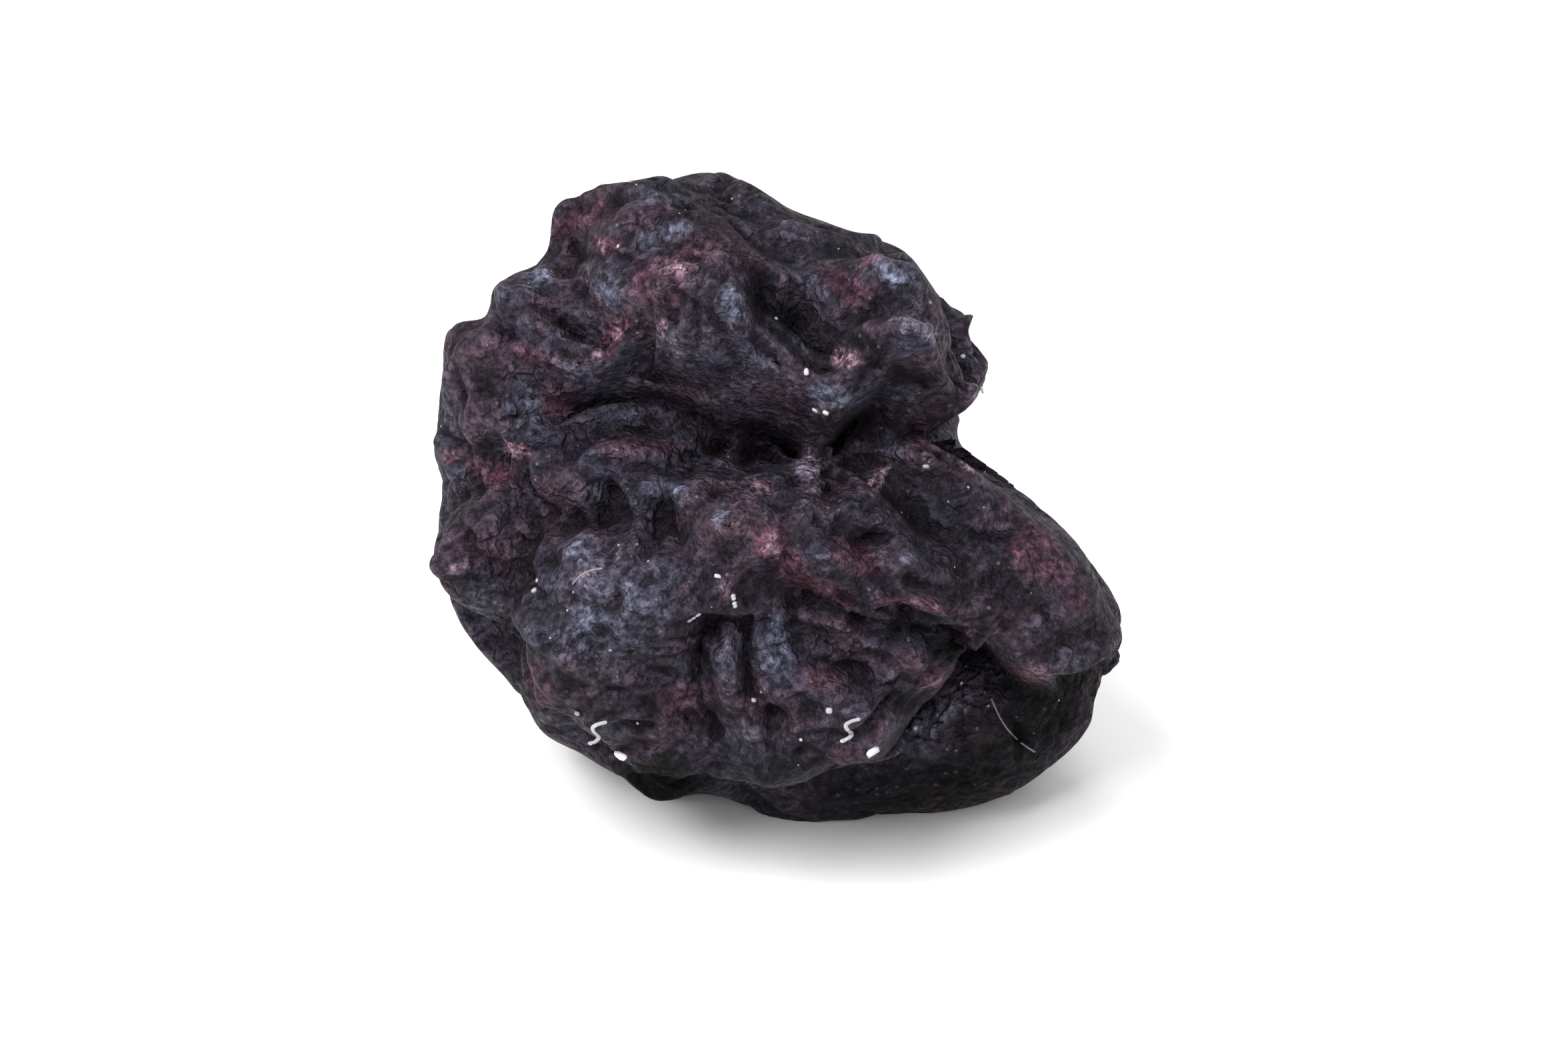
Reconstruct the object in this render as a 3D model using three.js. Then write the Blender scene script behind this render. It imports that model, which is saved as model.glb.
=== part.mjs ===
// One dried blueberry, lying as it was set down: a dark crumpled fruit about 11 mm across.
// Millimetres, +Z up. The origin is on the surface it lies on, under the middle of its box.
// The fruit is drawn as it is seen from the front and a little above: u runs to the right,
// v up the picture and w towards the eye. At the end it is turned into the upright frame.
import * as THREE from "three";
import { mergeVertices } from "three/addons/utils/BufferGeometryUtils.js";

// Driving sizes
const fruitWidth = 11.05;
const depthToFront = 4.5;
const depthToBack = 4.3;
const eyeElevation = 30;
const flatSpotLift = 0.7;
const sideFullness = 0.86;
const stepsPerSide = 31;
// The plump fruit is drawn this much larger than the outline; what stands out beyond the outline is drawn
// back to it, but for a small share
const outlineGrowth = 1.01;
const shareBeyondOutline = 0.12;
const outlineSoftness = 0.04;

// The outline as drawn, u and v in millimetres from the fruit's middle, counter-clockwise
const drawnWidth = 11.05;
const outline = [
  // the thick lip on the right, above the fold that parts it from the cap
  [3.2, 1.3], [3.41, 1.73], [3.77, 2.12], [3.32, 2.88], [3.39, 3.08],
  // the cap, from its right shoulder over the peak to the left
  [3.03, 3.32], [2.74, 3.65], [2.26, 4.18], [1.35, 4.42], [0.48, 4.76], [-0.63, 5.38], [-1.78, 5.19],
  [-2.88, 4.9], [-3.22, 4.47], [-3.46, 3.94], [-4.09, 3.56], [-4.23, 3.08],
  // the knobbly left side with the stem scar
  [-4.81, 2.88], [-5.0, 2.21], [-5.14, 0.96], [-5.0, 0.38], [-5.05, -0.29], [-5.0, -0.87],
  [-4.66, -1.73], [-3.99, -2.6], [-3.46, -3.41], [-2.74, -3.85], [-2.07, -4.23], [-1.59, -4.54],
  // the smooth underside
  [-0.87, -4.47], [-0.24, -4.62], [0.34, -5.0], [1.54, -4.98], [2.4, -4.86], [3.85, -4.57],
  [4.81, -3.99], [5.29, -3.41],
  // the wing and its round lip
  [5.38, -2.98], [5.63, -2.6], [5.91, -2.21], [5.77, -1.54], [5.14, -0.63], [4.38, 0.19], [3.37, 0.96],
];
// The plain oval that the outline fades into towards the middle of each side
const oval = { u: 0.35, v: 0.1, halfWidth: 5.35, halfHeight: 5.05 };

// Round masses of the flesh: middle, half length, half width, turn in degrees, how far they stand out.
// A middle or a fold's point with -1 behind it lies on the side that faces away.
const lobeList = [
  { name: "cap", at: [-0.7, 3.3], size: [4.6, 2.1], turn: -10, out: 0.6 },
  { name: "cap shoulder", at: [1.9, 3.0], size: [2.4, 1.2], turn: -30, out: 0.4 },
  { name: "cap's right foot", at: [1.9, 1.95], size: [1.7, 0.6], turn: -12, out: 0.85 },
  { name: "left edge", at: [-4.4, -0.8], size: [2.0, 1.0], turn: 80, out: 0.35 },
  { name: "left flank", at: [-2.5, -2.1], size: [2.5, 2.3], turn: 90, out: 0.4 },
  { name: "swirl", at: [1.1, -2.4], size: [1.7, 1.5], turn: 20, out: 0.6 },
  { name: "front foot", at: [0.7, -3.8], size: [2.3, 0.8], turn: 8, out: 0.4 },
  { name: "lower right", at: [3.1, -2.8], size: [1.2, 0.7], turn: 30, out: 0.4 },
  { name: "wing rim", at: [4.7, -0.9], size: [2.4, 0.9], turn: -40, out: 0.5 },
  { name: "red ridge", at: [0.9, -0.8], size: [2.0, 0.6], turn: -22, out: 0.55 },
  { name: "band under the cap", at: [0.4, 1.0], size: [3.6, 0.9], turn: -8, out: -0.8 },
  { name: "left hollow", at: [-2.6, -0.15], size: [1.3, 0.5], turn: -15, out: -0.35 },
  { name: "left of the band", at: [-2.2, 0.8], size: [1.7, 0.6], turn: -8, out: -0.35 },
  { name: "wing hollow", at: [3.1, -0.1], size: [1.9, 0.9], turn: -35, out: -0.55 },
  { name: "back top", at: [-1.6, 2.6, -1], size: [2.4, 1.5], turn: 15, out: 0.35 },
  { name: "back shoulder", at: [2.2, 2.2, -1], size: [2.0, 1.4], turn: -30, out: 0.35 },
  { name: "back left", at: [-3.4, -0.4, -1], size: [2.4, 1.3], turn: 80, out: 0.5 },
  { name: "back middle", at: [-0.4, -0.2, -1], size: [2.0, 1.4], turn: 40, out: 0.45 },
  { name: "back low", at: [-1.8, -2.5, -1], size: [2.4, 1.4], turn: -10, out: 0.45 },
  { name: "back hollow", at: [0.2, 0.6, -1], size: [2.0, 0.9], turn: 60, out: -0.6 },
  { name: "side hollow", at: [-2.2, 1.3, -1], size: [1.9, 0.7], turn: 10, out: -0.5 },
  { name: "hidden foot", at: [-1.9, -3.75, -1], size: [2.4, 1.5], turn: 0, out: 0.9 },
];

// Smaller ridges, flakes and pits of the side that faces the eye
const knobList = [
  { name: "cap front ridge", at: [-1.16, 3.11], size: [0.77, 0.24], turn: 20, out: 0.28 },
  { name: "cap top plate", at: [-1.51, 3.91], size: [0.67, 0.29], turn: 12, out: 0.2 },
  { name: "peak", at: [-0.6, 4.86], size: [0.58, 0.29], turn: -10, out: 0.25 },
  { name: "left plate", at: [-2.2, 3.07], size: [0.38, 0.24], turn: 10, out: 0.18 },
  { name: "blue plate", at: [-0.42, 2.77], size: [0.34, 0.53], turn: 10, out: 0.28 },
  { name: "pink ridge", at: [-2.07, 2.58], size: [0.75, 0.24], turn: 52, out: 0.3 },
  { name: "curled flake", at: [-1.4, 2.47], size: [0.43, 0.24], turn: -50, out: 0.3 },
  { name: "pale flake on the left", at: [-2.75, 2.21], size: [0.43, 0.19], turn: -22, out: 0.26 },
  { name: "upper lobe", at: [1.83, 2.95], size: [0.96, 0.48], turn: -38, out: 0.4 },
  { name: "pale ridge", at: [2.03, 2.28], size: [0.96, 0.22], turn: -20, out: 0.32 },
  { name: "ridge below the valley", at: [0.81, 1.98], size: [0.96, 0.29], turn: -18, out: 0.42 },
  { name: "three-cornered flake", at: [1.05, 1.63], size: [0.38, 0.24], turn: 0, out: 0.28 },
  { name: "right tip", at: [3.28, 1.97], size: [0.38, 0.38], turn: 0, out: 0.35 },
  { name: "pale flake", at: [0.69, 0.78], size: [0.24, 0.38], turn: -15, out: 0.38 },
  { name: "bent flake", at: [2.32, 0.36], size: [0.29, 0.14], turn: 45, out: 0.25 },
  { name: "band ridge on the left", at: [-1.86, 0.96], size: [0.87, 0.24], turn: -10, out: 0.1 },
  { name: "band ridge on the right", at: [2.92, 0.67], size: [0.62, 0.19], turn: -12, out: 0.28 },
  { name: "band ridge in the middle", at: [-0.52, 0.5], size: [0.77, 0.24], turn: -15, out: 0.22 },
  { name: "flank knob", at: [-2.09, -0.89], size: [0.58, 0.38], turn: 0, out: 0.2 },
  { name: "low flank knob", at: [-1.8, -1.88], size: [0.48, 0.43], turn: 0, out: 0.18 },
  { name: "lowest flank knob", at: [-2.56, -2.11], size: [0.43, 0.38], turn: 0, out: 0.18 },
  { name: "left knob", at: [-4.15, -0.74], size: [0.29, 0.29], turn: 0, out: 0.2 },
  { name: "left ridge", at: [-4.05, -0.38], size: [0.24, 0.67], turn: 10, out: 0.2 },
  { name: "between the upright folds", at: [-0.3, -2.46], size: [0.24, 1.06], turn: 0, out: 0.3 },
  { name: "outer coil", at: [1.13, -1.86], size: [0.96, 0.19], turn: -20, out: 0.25 },
  { name: "inner coil", at: [1.17, -2.28], size: [0.67, 0.19], turn: -25, out: 0.25 },
  { name: "lower coil", at: [1.16, -2.87], size: [0.77, 0.24], turn: -12, out: 0.2 },
  { name: "right knob", at: [2.42, -2.33], size: [0.38, 0.38], turn: 0, out: 0.3 },
  { name: "knob by the pit", at: [3.7, -2.91], size: [0.24, 0.43], turn: 0, out: 0.25 },
  { name: "red peak", at: [0.24, -0.38], size: [0.36, 0.3], turn: -30, out: 0.18 },
  { name: "red arc", at: [1.25, -0.79], size: [0.77, 0.24], turn: -25, out: 0.28 },
  { name: "red rim", at: [2.53, -1.38], size: [0.58, 0.17], turn: -12, out: 0.25 },
  { name: "lit rim", at: [1.64, -3.96], size: [1.25, 0.19], turn: 20, out: 0.3 },
  { name: "wing lip", at: [5, -2.3], size: [0.9, 0.45], turn: 25, out: 0.4 },
  { name: "slanted pit", at: [-3, 2.94], size: [0.43, 0.14], turn: -15, out: -0.4 },
  { name: "high valley pit", at: [-0.06, 3.37], size: [0.4, 0.24], turn: -45, out: -0.35 },
  { name: "valley pit", at: [0.52, 3.1], size: [0.5, 0.3], turn: -40, out: -0.45 },
  { name: "crease pit", at: [1.81, 1.33], size: [0.62, 0.35], turn: -8, out: -0.5 },
  { name: "middle crease pit", at: [0.34, 1.34], size: [0.24, 0.43], turn: 15, out: -0.5 },
  { name: "left crease pit", at: [-1.09, 1.4], size: [0.43, 0.38], turn: 0, out: -0.4 },
  { name: "under the cap's front", at: [-1.22, 2.12], size: [1.15, 0.29], turn: -5, out: -0.35 },
  { name: "hollow of the curled flake", at: [-1.52, 2.48], size: [0.19, 0.19], turn: -50, out: -0.25 },
  { name: "coil pit", at: [3.55, -2.77], size: [0.34, 0.29], turn: 0, out: -0.6 },
  { name: "small pit", at: [2.06, -1.71], size: [0.19, 0.19], turn: 0, out: -0.4 },
  { name: "small pit on the right", at: [2.38, -1.73], size: [0.19, 0.19], turn: 0, out: -0.4 },
  { name: "wedge", at: [2.6, -3.59], size: [0.43, 0.19], turn: 15, out: -0.5 },
  { name: "coil hollow", at: [1.57, -2.62], size: [0.58, 0.19], turn: -22, out: -0.3 },
  { name: "wing spot", at: [3.91, -0.43], size: [0.34, 0.19], turn: 0, out: -0.15 },
  { name: "flank hollow", at: [-1.72, -3.25], size: [0.43, 0.19], turn: -10, out: -0.25 },
  { name: "middle hollow", at: [-0.31, -0.47], size: [0.3, 0.26], turn: 0, out: -0.2 },
  { name: "band hollow", at: [1.28, 0.12], size: [0.24, 0.24], turn: 0, out: -0.25 },
  { name: "left hollow pit", at: [-2.91, -0.24], size: [0.58, 0.24], turn: -8, out: -0.4 },
  { name: "foot hollow", at: [-1.68, -4.77], size: [0.58, 0.29], turn: 0, out: -0.5 },
  { name: "dark wing", at: [2.82, -0.13], size: [0.67, 0.38], turn: -30, out: -0.3 },
  { name: "foot pit", at: [0.4, -3.2], size: [0.24, 0.48], turn: -35, out: -0.3 },
  { name: "lip wedge", at: [4.29, -3.75], size: [0.19, 0.43], turn: 20, out: -0.3 },
  { name: "right crease pit", at: [3.76, 1.7], size: [0.5, 0.3], turn: 0, out: -0.4 },
];
const knobStrength = 1.2;

// Folds of the skin: the way each runs, how wide and deep its valley is, how far that reaches under the
// edge on its left hand, and how far that edge stands above the other
const foldList = [
  { name: "under the cap", way: [[-3.84, 2.09], [-3.49, 1.6], [-2.43, 1.61], [-1.33, 1.67], [-0.15, 1.64],
    [1.19, 1.17], [2.57, 1.05], [3.5, 1.25], [3.99, 1.38], [3.2, 1.4, -1], [2.4, 1.9, -1], [1.4, 1.8, -1]
    ], wide: 0.42, deep: 1.7, under: 0.15, step: 0.5 },
  { name: "cap valley", way: [[-0.58, 3.44], [0.19, 3.12], [0.91, 2.77], [1.87, 1.91], [3.05, 1.48]
    ], wide: 0.36, deep: 1.05, under: 0.2, step: 0.4 },
  { name: "below the pink ridge", way: [[-1.85, 2.62], [-2.2, 2.21], [-2.62, 1.81]
    ], wide: 0.25, deep: 0.5, under: 0, step: -0.15 },
  { name: "slanted pit", way: [[-2.99, 2.8], [-2.51, 2.55]
    ], wide: 0.22, deep: 0.45, under: 0.2, step: 0.1 },
  { name: "left furrow", way: [[-3.87, 0.18], [-3.66, -0.72], [-3.41, -1.42], [-3.94, -2.53]
    ], wide: 0.3, deep: 0.6, under: 0, step: 0.2 },
  { name: "first upright fold", way: [[-0.69, -1.21], [-0.68, -2.66], [-0.71, -3.64]
    ], wide: 0.24, deep: 0.5, under: 0, step: -0.2 },
  { name: "second upright fold", way: [[0.13, -1.34], [0.31, -2.16], [0.22, -2.87]
    ], wide: 0.22, deep: 0.5, under: 0, step: 0.2 },
  { name: "swirl", way: [[0.4, -1.88], [0.97, -1.85], [1.52, -2.03], [2.01, -2.3], [2.35, -2.88]
    ], wide: 0.22, deep: 0.45, under: 0.1, step: 0.12 },
  { name: "under the red ridge", way: [[0.93, -1.23], [1.58, -1.7], [1.95, -1.78], [2.32, -1.68],
    [2.93, -2.1], [3.94, -3.1]], wide: 0.28, deep: 0.65, under: 0.3, step: 0.3 },
  { name: "below the wing", way: [[3.52, -1.83], [4.39, -2.96], [4.2, -3.36]
    ], wide: 0.24, deep: 0.5, under: 0, step: 0.15 },
  { name: "upper arc", way: [[-1.5, -0.02], [-1.22, -0.09], [-0.92, -0.32]
    ], wide: 0.18, deep: 0.25, under: 0, step: 0 },
  { name: "over the underside", way: [[-1.2, -4.35], [0, -4.35], [0.7, -4.15], [1.6, -3.8], [2.4, -3.2],
    [3.2, -2.75], [4, -2.65]], wide: 0.3, deep: 0.7, under: 0.2, step: 0.3 },
  { name: "under the lip", way: [[3.7, -2.6], [4.3, -2.85], [4.9, -2.75], [5.4, -2.55], [5.8, -2.4]
    ], wide: 0.24, deep: 0.8, under: 0.2, step: 0.4 },
  { name: "long back fold", way: [[-4, 2, -1], [-2.4, 1.6, -1], [-0.6, 1.9, -1], [0.4, 1.5, -1],
    [1, 1.7, -1]], wide: 0.45, deep: 1, under: 0.3, step: 0.4 },
  { name: "back branch", way: [[-0.6, 1.9, -1], [-0.2, 3.2, -1], [0.6, 4.3, -1]
    ], wide: 0.35, deep: 0.6, under: 0, step: 0.2 },
  { name: "back left fold", way: [[-2.2, 1.3, -1], [-2, 0, -1], [-2.5, -1.5, -1], [-3.6, -2.4, -1]
    ], wide: 0.35, deep: 0.7, under: 0, step: 0.3 },
  { name: "back low fold", way: [[-2.4, -1.5, -1], [-1.4, -1.9, -1], [-0.4, -1.7, -1], [0.4, -2.6, -1]
    ], wide: 0.35, deep: 0.7, under: 0.2, step: 0.3 },
  { name: "back foot fold", way: [[-1.4, -1.9, -1], [-1.3, -3, -1], [-1, -3.9, -1]
    ], wide: 0.3, deep: 0.4, under: 0, step: -0.15 },
  { name: "top fold", way: [[-2.6, 4.3, -1], [-2.2, 3, -1], [-2.6, 1.8, -1]
    ], wide: 0.3, deep: 0.5, under: 0, step: 0.2 },
];

// The step at the lower right, where the underside lies back behind the front folds
const stepEdge = [[-0.7, -4.4], [0.6, -4.15], [1.5, -3.85], [2.3, -3.25], [3.1, -2.8], [3.9, -2.6],
  [4.3, -2.85], [4.7, -2.85], [5.4, -2.55], [6.2, -2.2]];
const stepBack = 1.7;
const stepSoftness = 0.32;

// The stem scar at the left end and the calyx crown at the other, behind the wing
const scar = { at: [-4.28, 0.91], pitRadius: 0.26, pitDepth: 0.6, ringRadius: 0.5, ringLift: 0.14, rays: 7,
  reach: 2.0, rayDepth: 0.28 };
const crown = { toward: [0.45, -0.15, -0.88], radius: 1.9, rimWidth: 0.42, rimLift: 0.55, discDrop: 0.75,
  teeth: 5, toothShare: 0.35, dimple: 0.35 };

// Even wrinkles all over: distance between them, depth, and their kind. A valley wrinkle has round humps
// between sharp valleys, and a ridge wrinkle round hollows between sharp ridges.
const wrinkles = [
  { spacing: 3.4, depth: 0.12, kind: "wave" },
  { spacing: 2.2, depth: 0.26, kind: "valley" },
  { spacing: 1.5, depth: 0.18, kind: "ridge" },
  { spacing: 1.1, depth: 0.14, kind: "valley" },
];
// Patches with a smoother skin, and how much of the wrinkles they lose
const smoothPatches = [
  { name: "wing", at: [4.2, -0.9], size: [3.2, 1.8], turn: -40, loses: 0.9 },
  { name: "underside", at: [3.0, -4.3], size: [3.8, 1.5], turn: 15, loses: 0.9 },
];
const wavesPerWrinkle = 20;
const seed = 4127;

// Returns a function that gives the next of a fixed row of numbers between 0 and 1
function seededNumbers(start) {
  let state = start;
  return () => {
    state = (state * 16807) % 2147483647;
    return state / 2147483647;
  };
}

const draw = seededNumbers(seed);

// A smooth random field: the sum of plane waves of about one length, in all directions
function waveField(spacing) {
  const waves = [];
  for (let i = 0; i < wavesPerWrinkle; i += 1) {
    const rise = 2 * draw() - 1;
    const around = 2 * Math.PI * draw();
    const rate = (Math.PI / spacing) * (0.75 + 0.5 * draw());
    const flat = Math.sqrt(1 - rise * rise);
    const way = new THREE.Vector3(flat * Math.cos(around), flat * Math.sin(around), rise);
    waves.push({ way: way.multiplyScalar(rate), phase: 2 * Math.PI * draw() });
  }
  const size = Math.sqrt(2 / wavesPerWrinkle);
  return (point) => size * waves.reduce((sum, wave) => sum + Math.sin(wave.way.dot(point) + wave.phase), 0);
}

const sway = [waveField(2.6), waveField(2.6), waveField(2.6)];
const swayReach = 0.22;
const wrinkleFields = wrinkles.map((wrinkle) => waveField(wrinkle.spacing));

// 0 below the first value, 1 above the second, smooth between
function ramp(from, to, value) {
  const share = Math.min(1, Math.max(0, (value - from) / (to - from)));
  return share * share * (3 - 2 * share);
}

const outlinePolar = outline
  .map(([u, v]) => ({ angle: Math.atan2(v, u), reach: Math.hypot(u, v) }))
  .sort((a, b) => a.angle - b.angle);

// How far the outline lies from the middle at an angle: a cubic through its points
function outlineReach(angle) {
  const count = outlinePolar.length;
  let after = outlinePolar.findIndex((point) => point.angle > angle);
  if (after < 0) {
    after = count;
  }
  const pick = (index) => {
    const turns = Math.floor(index / count);
    const point = outlinePolar[index - turns * count];
    return { angle: point.angle + turns * 2 * Math.PI, reach: point.reach };
  };
  const [p0, p1, p2, p3] = [after - 2, after - 1, after, after + 1].map(pick);
  const span = p2.angle - p1.angle;
  const share = (angle - p1.angle) / span;
  const slopeIn = ((p2.reach - p0.reach) / (p2.angle - p0.angle)) * span;
  const slopeOut = ((p3.reach - p1.reach) / (p3.angle - p1.angle)) * span;
  const square = share * share;
  const cube = square * share;
  return (2 * cube - 3 * square + 1) * p1.reach + (cube - 2 * square + share) * slopeIn
    + (3 * square - 2 * cube) * p2.reach + (cube - square) * slopeOut;
}

// How far the plain oval lies from the same middle
function ovalReach(angle) {
  const [c, s] = [Math.cos(angle) / oval.halfWidth, Math.sin(angle) / oval.halfHeight];
  const [u, v] = [oval.u / oval.halfWidth, oval.v / oval.halfHeight];
  const a = c * c + s * s;
  const b = c * u + s * v;
  return (b + Math.sqrt(b * b - a * (u * u + v * v - 1))) / a;
}

// How far the plump fruit reaches: the outline at the rim, the oval in the middle of each side
function sweptReach(angle, flat) {
  const near = ramp(0.4, 1, flat);
  return ovalReach(angle) * (1 - near) + outlineGrowth * outlineReach(angle) * near;
}

// The plump fruit before it dried: the outline swept over a dome to the front and one to the back
function plumpPoint(way) {
  const flat = Math.hypot(way.x, way.y);
  const angle = Math.atan2(way.y, way.x);
  const spread = sweptReach(angle, flat) * flat ** sideFullness;
  const depth = way.z > 0 ? depthToFront : depthToBack;
  return new THREE.Vector3(spread * Math.cos(angle), spread * Math.sin(angle), depth * way.z);
}

// The plump skin's point that lies at u and v, on the front or, with side -1, on the back
function pointOnSkin([u, v, side = 1]) {
  const angle = Math.atan2(v, u);
  let flat = 0.5;
  for (let i = 0; i < 30; i += 1) {
    const share = Math.hypot(u, v) / sweptReach(angle, flat);
    flat = 0.5 * flat + 0.5 * Math.min(1, share ** (1 / sideFullness));
  }
  const rise = side * Math.sqrt(1 - flat * flat);
  return plumpPoint(new THREE.Vector3(flat * Math.cos(angle), flat * Math.sin(angle), rise));
}

// Cuts the corners of a path twice, so that it bends softly
function softened(path) {
  let points = path;
  for (let round = 0; round < 2; round += 1) {
    const next = [points[0]];
    for (let i = 0; i + 1 < points.length; i += 1) {
      next.push(points[i].clone().lerp(points[i + 1], 0.25), points[i].clone().lerp(points[i + 1], 0.75));
    }
    next.push(points[points.length - 1]);
    points = next;
  }
  return points;
}

// A fold's soft path on the skin, with the ball that holds all that it moves
function placeFold(fold) {
  const path = softened(fold.way.map(pointOnSkin));
  const ball = new THREE.Sphere().setFromPoints(path);
  ball.radius += foldReach;
  return { ...fold, path, ball };
}

const foldReach = 2.6;
const placePatch = (patch) => ({ ...patch, middle: pointOnSkin(patch.at) });
const lobes = lobeList.map(placePatch);
const knobs = knobList.map(placePatch);
const calmPatches = smoothPatches.map(placePatch);
const folds = foldList.map(placeFold);
const scarMiddle = pointOnSkin(scar.at);
const crownAxis = new THREE.Vector3(...crown.toward).normalize();
const crownMiddle = plumpPoint(crownAxis);

// Which way is out: the direction that an egg of the fruit's proportions has there
function outwardAt(point) {
  const depth = point.z > 0 ? depthToFront : depthToBack;
  return new THREE.Vector3(
    (point.x - oval.u) / oval.halfWidth ** 2,
    (point.y - oval.v) / oval.halfHeight ** 2,
    point.z / depth ** 2,
  ).normalize();
}

// How far inside an oval patch a point lies: 1 at its middle, 0 at its edge and beyond, smooth between
function insidePatch(patch, point) {
  const turn = THREE.MathUtils.degToRad(patch.turn);
  const [du, dv, dw] = [point.x - patch.middle.x, point.y - patch.middle.y, point.z - patch.middle.z];
  const along = (du * Math.cos(turn) + dv * Math.sin(turn)) / patch.size[0];
  const across = (dv * Math.cos(turn) - du * Math.sin(turn)) / patch.size[1];
  const through = dw / Math.max(...patch.size);
  return Math.max(0, 1 - along * along - across * across - through * through) ** 1.5;
}

// The nearest point of a fold's path, the leg it is on, and how far it is from the fold's ends, from 0 to 1
function nearestOnFold(fold, point) {
  let best = { distance: Infinity };
  const last = fold.path.length - 1;
  for (let i = 0; i < last; i += 1) {
    const start = fold.path[i];
    const leg = fold.path[i + 1].clone().sub(start);
    const share = Math.min(1, Math.max(0, point.clone().sub(start).dot(leg) / leg.lengthSq()));
    const foot = start.clone().addScaledVector(leg, share);
    const distance = foot.distanceTo(point);
    if (distance < best.distance) {
      const along = (i + share) / last;
      best = { distance, foot, leg, ends: ramp(0, 0.2, along) * ramp(0, 0.2, 1 - along) };
    }
  }
  return best;
}

// A fold draws the skin in with a sharp valley between two round shoulders, which lean over it, and
// lifts the shoulder on its left hand above the other
const shoulderPull = 0.4;
const valleySoftness = 0.1;
const shoulderWidth = 0.25;
const shoulderSpread = 0.9;
function foldMove(fold, point, outward) {
  const move = new THREE.Vector3();
  if (!fold.ball.containsPoint(point)) {
    return move;
  }
  const near = nearestOnFold(fold, point);
  const fade = Math.exp(-Math.hypot(near.distance, valleySoftness) / fold.wide);
  const sink = fold.deep * (0.25 + 0.75 * near.ends) * fade;
  move.copy(near.foot).sub(point).multiplyScalar(shoulderPull * fade);
  move.y += sink * fold.under;
  const hand = Math.sign(near.leg.clone().cross(point.clone().sub(near.foot)).dot(outward));
  const rise = 1 - Math.exp(-near.distance / shoulderWidth);
  const shoulder = rise * Math.exp(-near.distance / shoulderSpread);
  return move.addScaledVector(outward, fold.step * near.ends * hand * shoulder - sink);
}

// The height of the step's edge at u, along straight pieces between its points
function stepHeight(u) {
  const right = stepEdge.findIndex(([edgeU]) => edgeU > u);
  if (right <= 0) {
    return right < 0 ? stepEdge.at(-1)[1] : stepEdge[0][1];
  }
  const [from, to] = [stepEdge[right - 1], stepEdge[right]];
  return from[1] + ((to[1] - from[1]) * (u - from[0])) / (to[0] - from[0]);
}

// Below its edge the underside lies back, away from the eye
function stepMove(point) {
  const softness = stepSoftness + 0.4 * ramp(0.5, -1, point.z);
  const below = ramp(-softness, softness, stepHeight(point.x) - point.y);
  const start = ramp(-0.9, 0.3, point.x);
  const fade = ramp(-3, 0, point.z);
  return -stepBack * below * start * fade;
}

// The scar is a pit in a low ring, with short sharp furrows that run out from it
function scarLift(point) {
  const out = point.clone().sub(scarMiddle);
  const distance = out.length();
  const angle = Math.atan2(out.y, out.z + 0.4 * out.x);
  const furrow = 1 - Math.abs(Math.sin(0.5 * scar.rays * angle + 0.9 * Math.sin(2 * angle)));
  const outside = ramp(scar.pitRadius, scar.ringRadius * 1.5, distance);
  const fade = outside * ramp(scar.reach, scar.reach * 0.4, distance);
  const pit = scar.pitDepth * Math.exp(-((distance / scar.pitRadius) ** 2));
  const ring = scar.ringLift * Math.exp(-(((distance - scar.ringRadius) / 0.2) ** 2));
  return ring - pit - scar.rayDepth * furrow ** 3 * fade;
}

// The crown is a ring of five blunt teeth round a sunken disc
function crownLift(point, outward) {
  const out = point.clone().sub(crownMiddle);
  const height = out.dot(crownAxis);
  const flat = out.addScaledVector(crownAxis, -height);
  const distance = flat.length();
  const angle = Math.atan2(flat.y, flat.x - flat.z);
  const facing = ramp(0.2, 0.6, outward.dot(crownAxis));
  const tooth = 1 + crown.toothShare * Math.cos(crown.teeth * angle + 0.7 * Math.sin(angle));
  const rim = crown.rimLift * tooth * Math.exp(-(((distance - crown.radius) / crown.rimWidth) ** 2));
  const disc = crown.discDrop * ramp(crown.radius, crown.radius * 0.55, distance);
  const dimple = crown.dimple * Math.exp(-((distance / 0.35) ** 2));
  return facing * (rim - disc - dimple);
}

// Wrinkles of one spacing at a point
function wrinkleLift(wrinkle, field, point) {
  const wave = field(point);
  const hump = Math.hypot(wave, 0.12) - 0.75;
  return wrinkle.depth * { wave, valley: hump, ridge: -hump }[wrinkle.kind];
}

// What stands out beyond the drawn outline is drawn back to it, but for a small share
function trimmed(point) {
  const reach = Math.hypot(point.x, point.y);
  const over = reach - outlineReach(Math.atan2(point.y, point.x));
  const beyond = 0.5 * (over + Math.hypot(over, outlineSoftness));
  const scale = 1 - ((1 - shareBeyondOutline) * beyond) / reach;
  return new THREE.Vector3(point.x * scale, point.y * scale, point.z);
}

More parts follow.
